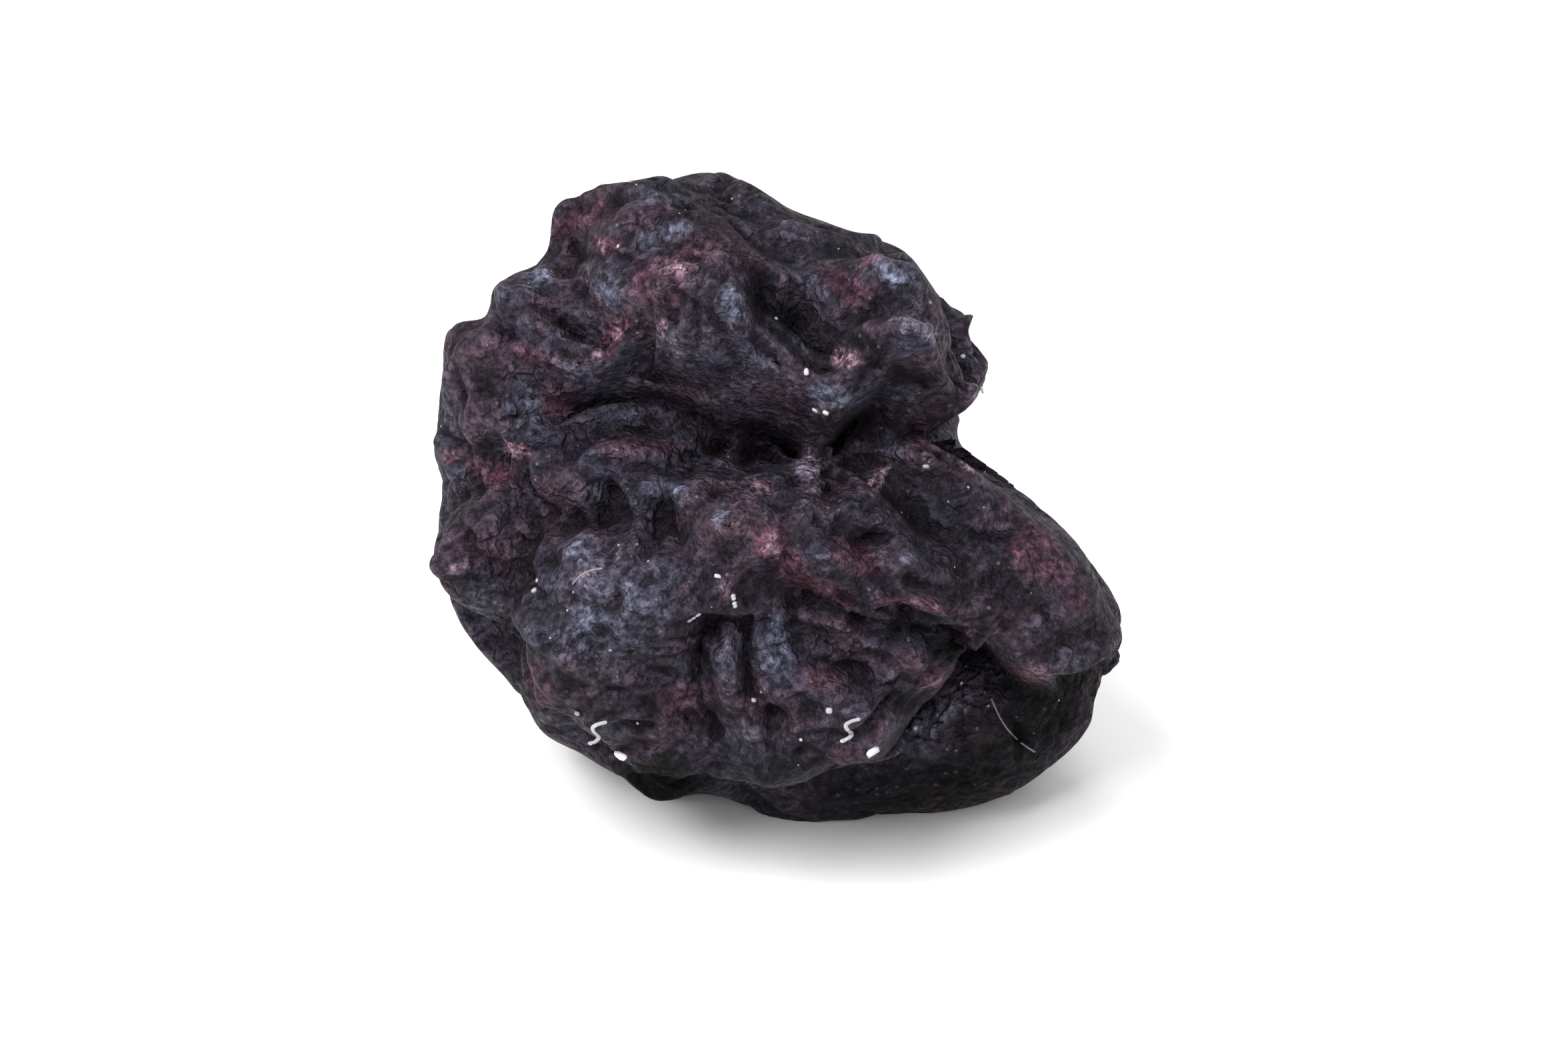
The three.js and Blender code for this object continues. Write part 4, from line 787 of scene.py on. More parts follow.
# Where the skin's colour differs, as the eye sees it: bloom and red are the skin's own colour; glint is a
# painted highlight on lit flakes and rims, partly pale skin; shade is painted shade on the underside, at the
# foot, in
# valleys, creases and pits. Each patch: place, size, turn, share
skinPatches = {
    "bloom": [
        ((-0.38, 3.27), (0.38, 0.22), 100, 1), ((-3.46, 3.7), (0.26, 0.22), 20, 1),
        ((-2.31, 3.51), (0.26, 0.19), -15, 1), ((-1.44, 4.35), (0.62, 0.17), 20, 1),
        ((2.07, 3.65), (0.38, 0.17), -50, 1), ((-2.4, -1.54), (1.15, 1.06), 70, 0.5),
        ((-2.64, -1.68), (0.43, 0.29), 100, 1), ((-2.26, -2.02), (0.34, 0.22), 0, 0.8),
        ((-2.74, -0.58), (0.29, 0.22), 20, 0.9), ((-2.5, -2.6), (0.29, 0.14), -10, 0.2),
        ((-1.54, -1.78), (0.48, 0.24), 80, 0.5), ((-0.48, -2.36), (0.72, 0.22), 88, 0.6),
        ((-0.58, -0.1), (0.19, 0.14), 90, 0.9), ((-1.3, 0.38), (0.34, 0.19), 10, 0.6),
        ((0.77, 0.82), (0.38, 0.22), 105, 1), ((1.11, 1.83), (0.38, 0.22), -10, 0.8),
        ((-2.79, 2.21), (0.29, 0.13), -28, 0.9), ((-1.39, 2.6), (0.38, 0.24), -52, 0.7),
        ((-3.56, 1.59), (0.34, 0.17), 85, 0.8), ((4.95, -2.26), (0.58, 0.38), 45, 0.25),
        ((2.5, -0.67), (0.38, 0.19), 0, 0.3), ((2.79, -3.32), (0.67, 0.19), 28, 0.8),
        ((1.97, 1.01), (0.24, 0.17), 0, 0.7), ((2.64, 0.72), (0.14, 0.12), 0, 0.6),
        ((0.29, -2.31), (0.62, 0.24), 88, 0.7), ((-4.33, -1.44), (0.58, 0.34), 75, 0.4),
        ((-0.24, -3.46), (0.43, 0.24), 20, 0.35), ((2.55, 2.84), (0.62, 0.17), -25, 0.8),
        ((0.82, 2.64), (0.34, 0.19), 10, 0.6), ((-4.81, 1.92), (0.67, 0.19), 95, 0.4),
        ((3.51, 2.07), (0.29, 0.19), 55, 0.7), ((-1.68, 4.95), (0.77, 0.17), 10, 0.3),
        ((0.72, 3.75), (0.58, 0.14), -45, 0.4), ((3.85, -2.6), (0.34, 0.12), 100, 0.5),
        ((-1.5, 2.8, -1), (1.8, 1.2), 20, 0.8), ((1.9, 2.4, -1), (1.2, 1), 0, 0.6),
        ((-3.3, -1, -1), (1.6, 1), 70, 0.7), ((0.2, -0.8, -1), (1.2, 0.8), 30, 0.5),
    ],
    "red": [
        ((0.24, -0.43), (0.38, 0.29), -60, 1), ((0.62, -0.96), (0.58, 0.24), -50, 1),
        ((1.54, -0.72), (0.48, 0.29), -40, 0.9), ((1.25, -1.25), (0.38, 0.14), -35, 0.7),
        ((2.4, -1.49), (0.67, 0.12), -8, 0.9), ((4.23, -0.53), (0.48, 0.29), 35, 0.7),
        ((4.66, -0.96), (0.67, 0.29), -10, 0.45), ((5.05, -1.44), (0.38, 0.19), -40, 0.6),
        ((4.38, -2.69), (0.43, 0.29), 20, 0.8), ((2.79, -2.69), (0.34, 0.29), 0, 0.9),
        ((2.4, -2.36), (0.34, 0.24), 0, 0.5), ((-2.24, 2.74), (0.48, 0.16), 55, 1),
        ((-2.31, 4.18), (0.34, 0.15), -10, 1), ((-1.3, 3.85), (0.43, 0.15), -5, 1),
        ((-1.54, 3.51), (0.53, 0.34), -20, 0.6), ((1.35, 3.51), (0.48, 0.24), -35, 0.9),
        ((1.68, 4.04), (0.38, 0.19), -20, 0.5), ((-4.81, 0.91), (0.19, 0.14), 30, 1),
        ((-3.7, 0.96), (0.29, 0.14), -20, 1), ((-4.04, 0.58), (0.29, 0.19), 40, 0.8),
        ((-4.42, 0.67), (0.29, 0.19), -40, 0.6), ((-4.81, 2.07), (0.62, 0.19), 95, 0.4),
        ((-3.46, 2.4), (0.43, 0.16), -25, 0.7), ((-2.98, 1.73), (0.43, 0.24), -10, 0.6),
        ((-2.64, 4.62), (0.67, 0.29), 12, 0.6), ((-3.51, -2.74), (0.58, 0.38), -52, 0.6),
        ((2.55, 1.25), (0.38, 0.29), 0, 0.5), ((1.06, -2.6), (0.48, 0.24), -25, 0.4),
        ((1.35, -3.94), (0.48, 0.24), 20, 0.6), ((-1.92, 1.06), (0.77, 0.24), 0, 0.4),
        ((-0.29, 1.2), (0.48, 0.24), 0, 0.5), ((2.88, -4.52), (0.48, 0.14), 10, 0.35),
        ((-0.58, -2.74), (0.19, 0.24), 0, 0.6), ((-1.2, -2.93), (0.48, 0.29), 30, 0.4),
        ((-4.33, -0.48), (0.48, 0.29), 80, 0.2), ((-0.87, 4.04), (0.38, 0.24), 10, 0.5),
        ((1.35, 2.4), (0.24, 0.19), 0, 0.5), ((-0.6, 1.9, -1), (1.2, 0.5), 0, 0.6),
        ((2.8, -0.9, -1), (1.4, 1.4), 0, 0.5), ((-2.4, -1.5, -1), (1, 0.5), 20, 0.6),
    ],
    # Painted highlights on lit flakes, rims and ridges, partly pale skin
    "glint": [
        ((-1.32, 3.87), (0.36, 0.11), -5, 1), ((-0.67, 4.06), (0.26, 0.1), 12, 0.35),
        ((0.26, -0.48), (0.22, 0.14), 105, 1), ((-2.21, 2.84), (0.16, 0.12), 55, 0.5),
        ((-2.45, 2.45), (0.16, 0.09), 55, 0.6), ((-2.31, 4.16), (0.24, 0.07), -10, 0.4),
        ((1.32, 2.43), (0.22, 0.17), 0, 1), ((-3.73, 0.96), (0.29, 0.11), -15, 1),
        ((-4.81, 0.89), (0.14, 0.08), 35, 0.7), ((1.97, 0.58), (0.29, 0.09), 60, 0.8),
        ((2.45, -1.49), (0.43, 0.07), -5, 0.35), ((3.37, 0.77), (0.24, 0.09), -30, 0.7),
        ((0, 0.38), (0.29, 0.1), -20, 0.8), ((1.06, 1.59), (0.24, 0.08), -5, 0.6),
        ((3.61, 1.97), (0.24, 0.12), 50, 0.45), ((-1.47, 2.88), (0.14, 0.1), 90, 0.6),
        ((-1.25, 2.64), (0.19, 0.07), -45, 0.5), ((0.82, 0.38), (0.19, 0.08), 0, 0.6),
        ((-0.96, 3.58), (0.29, 0.06), -5, 0.4), ((0.77, 0.87), (0.36, 0.17), 105, 0.4),
        ((-4.71, -0.89), (0.19, 0.08), 18, 0.5), ((-2.6, -0.96), (0.29, 0.06), 20, 0.35),
        ((-3.08, 2.36), (0.24, 0.06), -25, 0.35), ((2.79, -2.74), (0.19, 0.14), 30, 0.4),
        ((4.38, -2.64), (0.29, 0.22), 0, 0.5), ((-1.15, -1.2), (0.19, 0.07), 40, 0.3),
        ((-0.48, -1.2), (0.14, 0.19), 0, 0.3), ((2.5, 2.81), (0.53, 0.11), -25, 0.3),
        ((-0.9, 3.1, -1), (0.5, 0.15), 20, 0.7), ((1.6, 0.4, -1), (0.4, 0.12), -30, 0.6),
        ((-2.7, -1.9, -1), (0.4, 0.15), 50, 0.6),
    ],
    # Painted shade on the underside, at the foot, in valleys, creases and pits
    "shade": [
        ((0.14, 3.56), (0.34, 0.16), -48, 0.8), ((0.53, 3.03), (0.34, 0.24), -60, 1),
        ((1.11, 2.84), (0.34, 0.14), -30, 0.8), ((1.68, 2.57), (0.58, 0.17), -28, 1),
        ((2.45, 2.09), (0.58, 0.15), -18, 0.9), ((1.44, 1.35), (0.58, 0.24), -4, 1),
        ((0.58, 1.3), (0.34, 0.14), 0, 0.5), ((0.38, 0.82), (0.34, 0.12), 100, 0.5),
        ((2.98, 1.54), (0.34, 0.26), 40, 0.6), ((2.84, 1.01), (0.29, 0.12), 90, 0.5),
        ((-1.2, 1.73), (1.25, 0.12), 0, 0.35), ((-2.88, 1.68), (0.53, 0.19), -12, 0.3),
        ((-1.83, 2.88), (0.19, 0.14), 60, 0.6), ((-2.12, 2.21), (0.43, 0.13), 50, 0.6),
        ((-2.84, 2.86), (0.31, 0.11), -22, 0.6), ((-4.23, 0.99), (0.22, 0.22), 0, 1),
        ((-4.18, 1.78), (0.38, 0.14), 78, 0.45), ((-3.65, -0.96), (0.77, 0.11), 93, 0.5),
        ((-3.22, -0.19), (0.38, 0.19), 0, 0.5), ((-2.16, 0.05), (0.43, 0.19), -20, 0.3),
        ((-1.35, -0.29), (0.53, 0.08), -12, 0.4), ((-1.35, -0.67), (0.48, 0.09), 0, 0.5),
        ((-0.91, -2.4), (0.67, 0.11), 88, 0.5), ((-0.07, -2.16), (0.67, 0.1), 90, 0.5),
        ((3.03, -2.07), (0.34, 0.24), -10, 1), ((2.07, -1.71), (0.14, 0.12), 0, 0.8),
        ((2.48, -1.73), (0.14, 0.12), 0, 0.8), ((2.26, -1.97), (0.43, 0.12), 5, 0.5),
        ((2.4, -3.08), (0.38, 0.19), 8, 0.9), ((1.78, -2.84), (0.43, 0.13), -38, 0.7),
        ((1.06, -2.14), (0.58, 0.16), -25, 0.4), ((2.31, 0.1), (0.62, 0.29), -20, 0.3),
        ((3.32, -0.38), (0.34, 0.14), 0, 0.5), ((1.25, 0.29), (0.14, 0.14), 0, 0.8),
        ((3.89, -2.5), (0.43, 0.1), 80, 0.5), ((0.29, -3.41), (0.58, 0.14), -35, 0.4),
        ((-1.63, -3.08), (0.38, 0.19), 20, 0.5), ((-0.72, 5.14), (0.43, 0.11), -5, 0.4),
        ((-2.6, 3.99), (0.48, 0.09), -5, 0.4), ((-1.54, -4.33), (0.87, 0.43), 0, 1),
        ((2.4, -4.33), (2.12, 0.43), 8, 0.85), ((4.42, -3.37), (0.87, 0.58), 25, 0.8),
        ((1.44, -4.23), (0.77, 0.19), 10, 0.7), ((-0.53, -0.58), (0.19, 0.19), 0, 0.5),
        ((-4.62, 2.64), (0.24, 0.24), 60, 0.4), ((-0.72, 1.25), (0.58, 0.14), 0, 0.4),
        ((-3.99, 0.19), (0.14, 0.19), 0, 0.5),
    ],
}
# Wide soft tones, partly the skin's own and partly painted light and shade, with the strongest painted shade
# on the underside, at the foot and in the valleys: place, size, turn, how many times the light doubles there
lightShadeAndTonePatches = [
    ((-1.39, 4.52), (2.02, 0.91), 12, -0.3), ((-3.22, 2.98), (1.59, 1.49), 20, 0.45),
    ((2.31, 2.98), (1.59, 1.2), -35, 0.3), ((-4.33, 0.91), (1.2, 1.3), 0, 0.45),
    ((-4.38, -1.15), (0.67, 1.44), 0, -0.2), ((2.02, 0.82), (1.39, 0.72), -8, 0.5),
    ((0.19, 1.39), (3.61, 0.43), -5, 0.3), ((-2.21, 0.58), (1.59, 0.82), -8, 0.3),
    ((2.69, 0), (1.3, 0.91), -35, -0.6), ((3.41, -1.11), (1.11, 0.72), -20, -0.8),
    ((3.08, -2.12), (0.58, 0.48), 0, -1.2), ((4.18, -3.51), (1.92, 1.06), 30, -2.1),
    ((2.31, -4.47), (3.17, 0.72), 12, -1), ((0.29, -4.09), (1.73, 0.58), 8, -1.5),
    ((-1.54, -4.33), (1.25, 0.58), 0, -3.2), ((-2.5, -1.15), (1.06, 1.06), 70, 0.25),
    ((-2.5, -2.79), (1.15, 0.62), -20, -0.6), ((5.05, -2.12), (0.77, 0.67), 45, -0.7),
    ((0.58, 2.88), (1.25, 0.29), -32, -0.8), ((2.4, 2.12), (0.87, 0.24), -18, -0.6),
    ((0.29, -2.31), (0.77, 0.34), 88, 0.6), ((-2.5, -0.77), (0.77, 0.58), 10, 0.3),
    ((-1.44, 4.35), (0.72, 0.24), 20, 0.7), ((1.97, 3.7), (0.43, 0.19), -50, 0.5),
    ((0.77, 0.82), (0.43, 0.29), 105, 0.8), ((4.38, -2.69), (0.48, 0.34), 20, 0.7),
    ((1.35, 2.4), (0.34, 0.29), 0, 0.5), ((-2.21, 2.84), (0.3, 0.22), 40, -0.3),
    ((-3.46, 3.7), (0.4, 0.3), 0, 0.45), ((-1.44, 4.35), (0.5, 0.22), 10, 0.4),
    ((1.68, 2.6), (0.5, 0.2), -28, -1.3), ((2.5, 2.84), (0.4, 0.22), -10, 0.4),
    ((1.97, 0.58), (0.35, 0.2), 0, 0.4), ((0, 0.38), (0.3, 0.2), 0, -0.5),
    ((-2.6, -1.68), (0.4, 0.35), 0, 0.3), ((-2.74, -0.58), (0.4, 0.35), 0, 0.35),
    ((-2.4, -2.55), (0.4, 0.3), 0, -0.4), ((-0.48, -2.4), (0.2, 0.5), 0, -0.3),
    ((4.33, -3.7), (0.5, 0.3), 10, 1.1), ((-0.1, -4.23), (0.6, 0.3), 0, -0.5),
    ((-1.54, -4.23), (0.7, 0.4), 20, -4.5),
]
# The shares of the way out where a patch starts and is full, and how much wider it is on the far side
patchEdge = {"seen": (1.25, 0.45), "hidden": 1.6}
# Marks of the skin's relief: rounds of averaging round a point, the millimetres at which a mark starts and is
# full, and the share of a hollow's painted shade that bloom and the painted highlights of glints hide
reliefMarks = {
    "fineRounds": 12,
    "wideRounds": 150,
    "ridge": (-0.02, 0.05),
    "wideHollow": (0.05, -0.3),
    "fineHollow": (0.005, -0.04),
    "paintedShadeHiddenBy": {"bloom": 0.6, "glint": 0.9},
}


# The greatest of the patches' shares, each with a soft edge. A patch on the far side is placed on the plump
# skin.
def patchMark(patches, plump, view):
    mark = np.zeros(len(plump))
    for place, size, turn, share in patches:
        if len(place) == 3:
            inside = np.minimum(1, patchEdge["hidden"] * insidePatch(place, size, turn, plump))
        else:
            inside = ramp(*patchEdge["seen"], shareOut(place, size, turn, view))
        mark = np.maximum(mark, share * inside)
    return mark


# 2 to the sum of the tones, each times (1 - squared share of the way out)^1.5
def lightShadeAndToneMark(patches, view):
    doublings = np.zeros(len(view))
    for place, size, turn, lightShadeAndTone in patches:
        doublings += lightShadeAndTone * np.maximum(0, 1 - shareOut(place, size, turn, view) ** 2) ** 1.5
    return 2 ** doublings


# The marks that the finish reads, one value from 0 to 1 at every point, and the tone. The hollow mark is
# painted shade in the skin's hollows; the tone is partly painted light and shade
def skinMarks(points, normals, pairs, plump, view):
    fine = reliefOf(points, normals, pairs, reliefMarks["fineRounds"])
    wide = reliefOf(points, normals, pairs, reliefMarks["wideRounds"])
    # Painted shade: the hollow mark darkens the skin's colour in wide and fine hollows, where shade falls
    hollow = 0.65 * ramp(*reliefMarks["wideHollow"], wide) + 0.6 * ramp(*reliefMarks["fineHollow"], fine)
    marks = {name: patchMark(patches, plump, view) for name, patches in skinPatches.items()}
    covered = np.maximum(*[share * marks[name] for name, share in reliefMarks["paintedShadeHiddenBy"].items()])
    marks["hollow"] = np.minimum(1, hollow) * (1 - covered)
    marks["ridge"] = ramp(*reliefMarks["ridge"], fine)
    marks["lightShadeAndTone"] = lightShadeAndToneMark(lightShadeAndTonePatches, view)
    return marks


# The skin stands in the middle of the solid's box, with its top at the same height and flat where it rests
def makeSkin():
    ways, quads = cubeBall(form["stepsPerSide"])
    pairs = neighbourPairs(quads)
    points = upright(blunted(driedPoints(ways), quads, pairs))
    low, high = points.min(0), points.max(0)
    boxLow, boxHigh = cadLow / millimetre, cadHigh / millimetre
    shift = (boxLow + boxHigh - low - high) / 2
    shift[2] = boxHigh[2] - high[2]
    points += shift
    points[:, 2] = np.maximum(points[:, 2], 0)
    normals, view = normalsOf(points, quads), seen(points - shift)
    marks = skinMarks(points, normals, pairs, plumpPoints(ways), view)
    return makeMesh("berrySkin", points, quads, marks), points, normals, view


skin, skinPoints, skinNormals, skinSeen = makeSkin()
print("skin is made:", len(skin.data.vertices), "points")


# Small tools for materials

# Sets a socket to a value, or links it where the value is another node's socket
def feed(tree, socket, value):
    if isinstance(value, bpy.types.NodeSocket):
        tree.links.new(value, socket)
    else:
        socket.default_value = value


def addNode(tree, kind, values={}, **settings):
    node = tree.nodes.new(kind)
    for name, value in settings.items():
        setattr(node, name, value)
    for name, value in values.items():
        feed(tree, node.inputs[name], value)
    return node


def mixColour(tree, share, first, second, blend="MIX"):
    values = {0: share, 6: first, 7: second}
    return addNode(tree, "ShaderNodeMix", values, data_type="RGBA", blend_type=blend).outputs[2]


# first x second + third
def straight(tree, first, second, third=0.0, clamp=False):
    values = {0: first, 1: second, 2: third}
    return addNode(tree, "ShaderNodeMath", values, operation="MULTIPLY_ADD", use_clamp=clamp).outputs[0]


# The share of the way from low to high that a value has come, from 0 to 1, eased at both ends
def rangeOf(tree, value, low, high):
    node = addNode(tree, "ShaderNodeMapRange", {"Value": value, "From Min": low, "From Max": high},
                   interpolation_type="SMOOTHSTEP")
    return node.outputs["Result"]


# Goes evenly from low to high as the value goes from 0 to 1
def toned(tree, value, low, high):
    values = {"Value": value, "To Min": low, "To Max": high}
    return addNode(tree, "ShaderNodeMapRange", values).outputs["Result"]


def noise(tree, place, scale, detail, roughness=0.5):
    values = {"Vector": place, "Scale": scale, "Detail": detail, "Roughness": roughness}
    return addNode(tree, "ShaderNodeTexNoise", values).outputs


def newGroup(name, inputs, outputs):
    group = bpy.data.node_groups.new(name, "ShaderNodeTree")
    for side, sockets in (("INPUT", inputs), ("OUTPUT", outputs)):
        for label, kind, start in sockets:
            socket = group.interface.new_socket(name=label, in_out=side, socket_type="NodeSocket" + kind)
            if start is not None:
                socket.default_value = start
    return group, group.nodes.new("NodeGroupInput"), group.nodes.new("NodeGroupOutput")


# Grain of a dried skin: a soft mottle, fine crinkles between uneven cells, a fine grain, and pale specks
# where a cell's middle is near. Every scale is a share of the number of grains in a millimetre.
def makeGrainGroup():
    results = ("Mottle", "Crinkle", "Grain", "Specks", "Height")
    group, given, result = newGroup(
        "driedGrain",
        [("Vector", "Vector", None), ("Grains per mm", "Float", 9.0), ("Speck share", "Float", 0.1)],
        [(name, "Float", None) for name in results])
    place, rate = given.outputs["Vector"], given.outputs["Grains per mm"]
    mottle = noise(group, place, straight(group, rate, 0.17), 5.0, 0.62)
    bend = noise(group, place, straight(group, rate, 0.25), 3.0)
    bent = addNode(group, "ShaderNodeVectorMath", {0: bend["Color"], 1: (0.7, 0.7, 0.7), 2: place},
                   operation="MULTIPLY_ADD").outputs[0]
    ridged = {"Vector": bent, "Scale": straight(group, rate, 0.22), "Detail": 4.0, "Roughness": 0.6,
              "Offset": 0.9, "Gain": 2.0}
    folds = addNode(group, "ShaderNodeTexNoise", ridged, noise_type="RIDGED_MULTIFRACTAL")
    cracks = addNode(group, "ShaderNodeTexVoronoi", {"Vector": bent, "Scale": straight(group, rate, 0.34)},
                     feature="DISTANCE_TO_EDGE")
    grain = noise(group, place, rate, 3.0, 0.7)
    cells = addNode(group, "ShaderNodeTexVoronoi", {"Vector": place, "Scale": straight(group, rate, 0.8)})
    drawn = addNode(group, "ShaderNodeSeparateColor", {"Color": cells.outputs["Color"]}).outputs[0]
    chosen = addNode(group, "ShaderNodeMath", {0: drawn, 1: given.outputs["Speck share"]},
                     operation="LESS_THAN").outputs[0]
    specks = straight(group, chosen, rangeOf(group, cells.outputs["Distance"], 0.34, 0.12))
    fine = rangeOf(group, grain["Fac"], 0.3, 0.72)
    ridges = rangeOf(group, folds.outputs["Fac"], 0.2, 1.6)
    inCell = rangeOf(group, cracks.outputs["Distance"], 0.0, 0.16)
    crinkle = straight(group, straight(group, inCell, 0.6, 0.4), ridges)
    height = straight(group, fine, 0.45, straight(group, crinkle, 1.6, specks))
    soft = rangeOf(group, mottle["Fac"], 0.36, 0.66)
    for name, value in zip(results, (soft, crinkle, fine, specks, height)):
        group.links.new(value, result.inputs[name])
    return group


grainGroup = makeGrainGroup()


# A material's grain, on the object's own coordinates in millimetres
def addGrain(tree, look):
    metres = addNode(tree, "ShaderNodeTexCoord").outputs["Object"]
    place = addNode(tree, "ShaderNodeMapping", {"Vector": metres, "Scale": (1000, 1000, 1000)}).outputs[0]
    values = {"Vector": place, "Grains per mm": look["grainRate"], "Speck share": look["speckShare"]}
    return place, addNode(tree, "ShaderNodeGroup", values, node_tree=grainGroup).outputs


def markOf(tree, name):
    return addNode(tree, "ShaderNodeAttribute", attribute_name=name).outputs["Fac"]


def newPaint(name):
    paint = bpy.data.materials.new(name)
    paint.use_nodes = True
    return paint, paint.node_tree, paint.node_tree.nodes["Principled BSDF"].inputs


# The skin's finish

skinLook = {
    "dark": (0.0084, 0.0057, 0.0108, 1),
    "plum": (0.0510, 0.0324, 0.0456, 1),
    "slate": (0.0330, 0.0318, 0.0480, 1),
    "bloom": (0.0732, 0.0816, 0.1170, 1),
    "red": (0.0990, 0.0276, 0.0408, 1),
    # glint is a painted highlight, partly pale skin; crease is painted shade in the hollows; shade is painted
    # shade on the underside, in valleys and pits
    "glint": (0.2520, 0.1620, 0.2100, 1),
    "crease": (0.0036, 0.0024, 0.0042, 1),
    "shade": (0.0048, 0.0042, 0.0060, 1),
    "speck": (0.1560, 0.1440, 0.1680, 1),
    "grainRate": 8.0,         # grains in a millimetre
    "hueRate": 0.9,
    "speckShare": 0.12,
    "grainRelief": 0.06,      # millimetres
    "roughness": (0.76, 0.50),     # in the grain's hollows and on its tops
    "shadeRoughness": 0.35,
    "shine": 0.10,
    "hueEdges": (0.4, 0.6),
    # How far the painted shade of the crease and shade marks goes
    "paintedShadeStrength": 0.85,
    "grainTone": (0.3, 1.75),
    "crinkleTone": (0.6, 1.5),
}


# Slate to plum under the mottle and the ridges, then red, bloom, glints as painted highlights, crease as
# painted shade in the hollows and shade as painted shade where their marks are, all times the grain's, the
# crinkles' and the painted tone with its painted light and shade, and specks on top
def makeSkinMaterial():
    paint, tree, sockets = newPaint("driedBerrySkin")
    place, grain = addGrain(tree, skinLook)
    mottle, crinkle, fine, specks = [grain[name] for name in ("Mottle", "Crinkle", "Grain", "Specks")]
    marks = {name: markOf(tree, name) for name in (*skinPatches, "hollow", "ridge", "lightShadeAndTone")}
    ridge = marks["ridge"]
    hues = noise(tree, place, skinLook["hueRate"], 5.0, 0.65)["Fac"]
    base = mixColour(tree, rangeOf(tree, hues, *skinLook["hueEdges"]), skinLook["slate"], skinLook["plum"])
    lightness = straight(tree, mottle, 0.45, straight(tree, ridge, 0.55), clamp=True)
    colour = mixColour(tree, lightness, skinLook["dark"], base)
    red = straight(tree, marks["red"], straight(tree, mottle, 0.45, 0.28), clamp=True)
    red = straight(tree, red, straight(tree, fine, 0.7, 0.4), clamp=True)
    bloom = straight(tree, marks["bloom"], straight(tree, fine, 0.7, 0.35), clamp=True)
    bloom = straight(tree, bloom, straight(tree, ridge, 0.5, 0.45), clamp=True)
    glint = straight(tree, marks["glint"], straight(tree, fine, 0.9, 0.2, clamp=True))
    # Painted shade: the hollow mark, with the crease colour, and the shade mark darken the colour
    crease, shade = [straight(tree, marks[name], skinLook["paintedShadeStrength"]) for name in ("hollow", "shade")]
    layers = {"red": red, "bloom": bloom, "glint": glint, "crease": crease, "shade": shade}
    for name, share in layers.items():
        colour = mixColour(tree, share, colour, skinLook[name])
    # The tone mark: the skin's own tone with painted light and shade, most of all the painted shade of the
    # underside
    tones = marks["lightShadeAndTone"]
    for value, name in ((fine, "grainTone"), (crinkle, "crinkleTone")):
        tones = straight(tree, tones, toned(tree, value, *skinLook[name]))
    colour = mixColour(tree, 1.0, colour, tones, "MULTIPLY")
    speckShare = straight(tree, specks, straight(tree, ridge, 0.45, 0.1), clamp=True)
    feed(tree, sockets["Base Color"], mixColour(tree, speckShare, colour, skinLook["speck"]))
    dryness = toned(tree, fine, *skinLook["roughness"])
    rough = straight(tree, marks["shade"], skinLook["shadeRoughness"], dryness, clamp=True)
    feed(tree, sockets["Roughness"], rough)
    feed(tree, sockets["Specular IOR Level"], skinLook["shine"])
    bump = addNode(tree, "ShaderNodeBump", {"Strength": 1.0, "Distance": skinLook["grainRelief"] * millimetre,
                                            "Height": grain["Height"]})
    feed(tree, sockets["Normal"], bump.outputs["Normal"])
    return paint


skin.data.materials.append(makeSkinMaterial())
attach(skin, "root")
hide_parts("dried_blueberry")
print("skin is finished")


# Dried sugar

squiggle = [(0.14, 0.18), (0.02, 0.15), (-0.07, 0.09), (-0.02, 0.01), (0.05, -0.05), (0.0, -0.12),
            (-0.11, -0.17)]
# Threads of overlapping grains: path, number of grains, half width, paleness
threads = [
    ([(u - 2.5, v - 3.45) for u, v in squiggle], 26, 0.03, 0.42),
    ([(u + 1.44, v - 3.4) for u, v in squiggle], 26, 0.03, 0.45),
    ([(3.7, -2.95), (3.85, -3.3), (4.1, -3.6), (4.4, -3.8)], 60, 0.015, 0.0),
    ([(-2.84, -1.11), (-2.7, -0.96), (-2.55, -0.9), (-2.4, -0.88)], 22, 0.02, 0.12),
    ([(-1.05, -1.68), (-0.9, -1.58)], 5, 0.03, 0.45),
    ([(-0.37, -1.3), (-0.34, -1.45)], 4, 0.035, 0.6),
]
# Single grains: place, half length, half width, paleness
sugar = [
    ((-2.12, -3.8), 0.12, 0.07, 1.0), ((1.8, -3.72), 0.125, 0.07, 1.0), ((-2.79, -3.13), 0.05, 0.045, 0.3),
    ((1.13, -3.08), 0.055, 0.05, 0.45), ((-0.05, -2.93), 0.045, 0.04, 0.35), ((2.5, -3.41), 0.045, 0.04, 0.4),
    ((-0.6, -0.99), 0.06, 0.035, 0.5), ((-3.46, -1.23), 0.05, 0.045, 0.4), ((0.77, 2.16), 0.04, 0.06, 0.6),
    ((0.91, 1.59), 0.05, 0.035, 0.5), ((1.08, 1.55), 0.055, 0.045, 0.65), ((3.25, 2.45), 0.04, 0.04, 0.5),
    ((3.5, 1.9), 0.06, 0.035, 0.4), ((2.64, 0.72), 0.06, 0.04, 0.3), ((0.3, 3.0), 0.03, 0.03, 0.3),
]
sugarLook = {
    "bright": (0.62, 0.62, 0.64, 1),
    "dull": (0.10, 0.095, 0.107, 1),
    "roughness": 0.45,
    "grainRate": 14.0,
    "speckShare": 0.3,
    "scattered": 130,
    "sizes": (0.012, 0.035),      # half the length of the scattered grains, in millimetres
    "threadGrain": 1.2,           # a thread's grains are this much longer than wide
    "sunk": 0.3,                  # each grain's middle stands this share of its half width over the skin
    "seed": 60611,
}


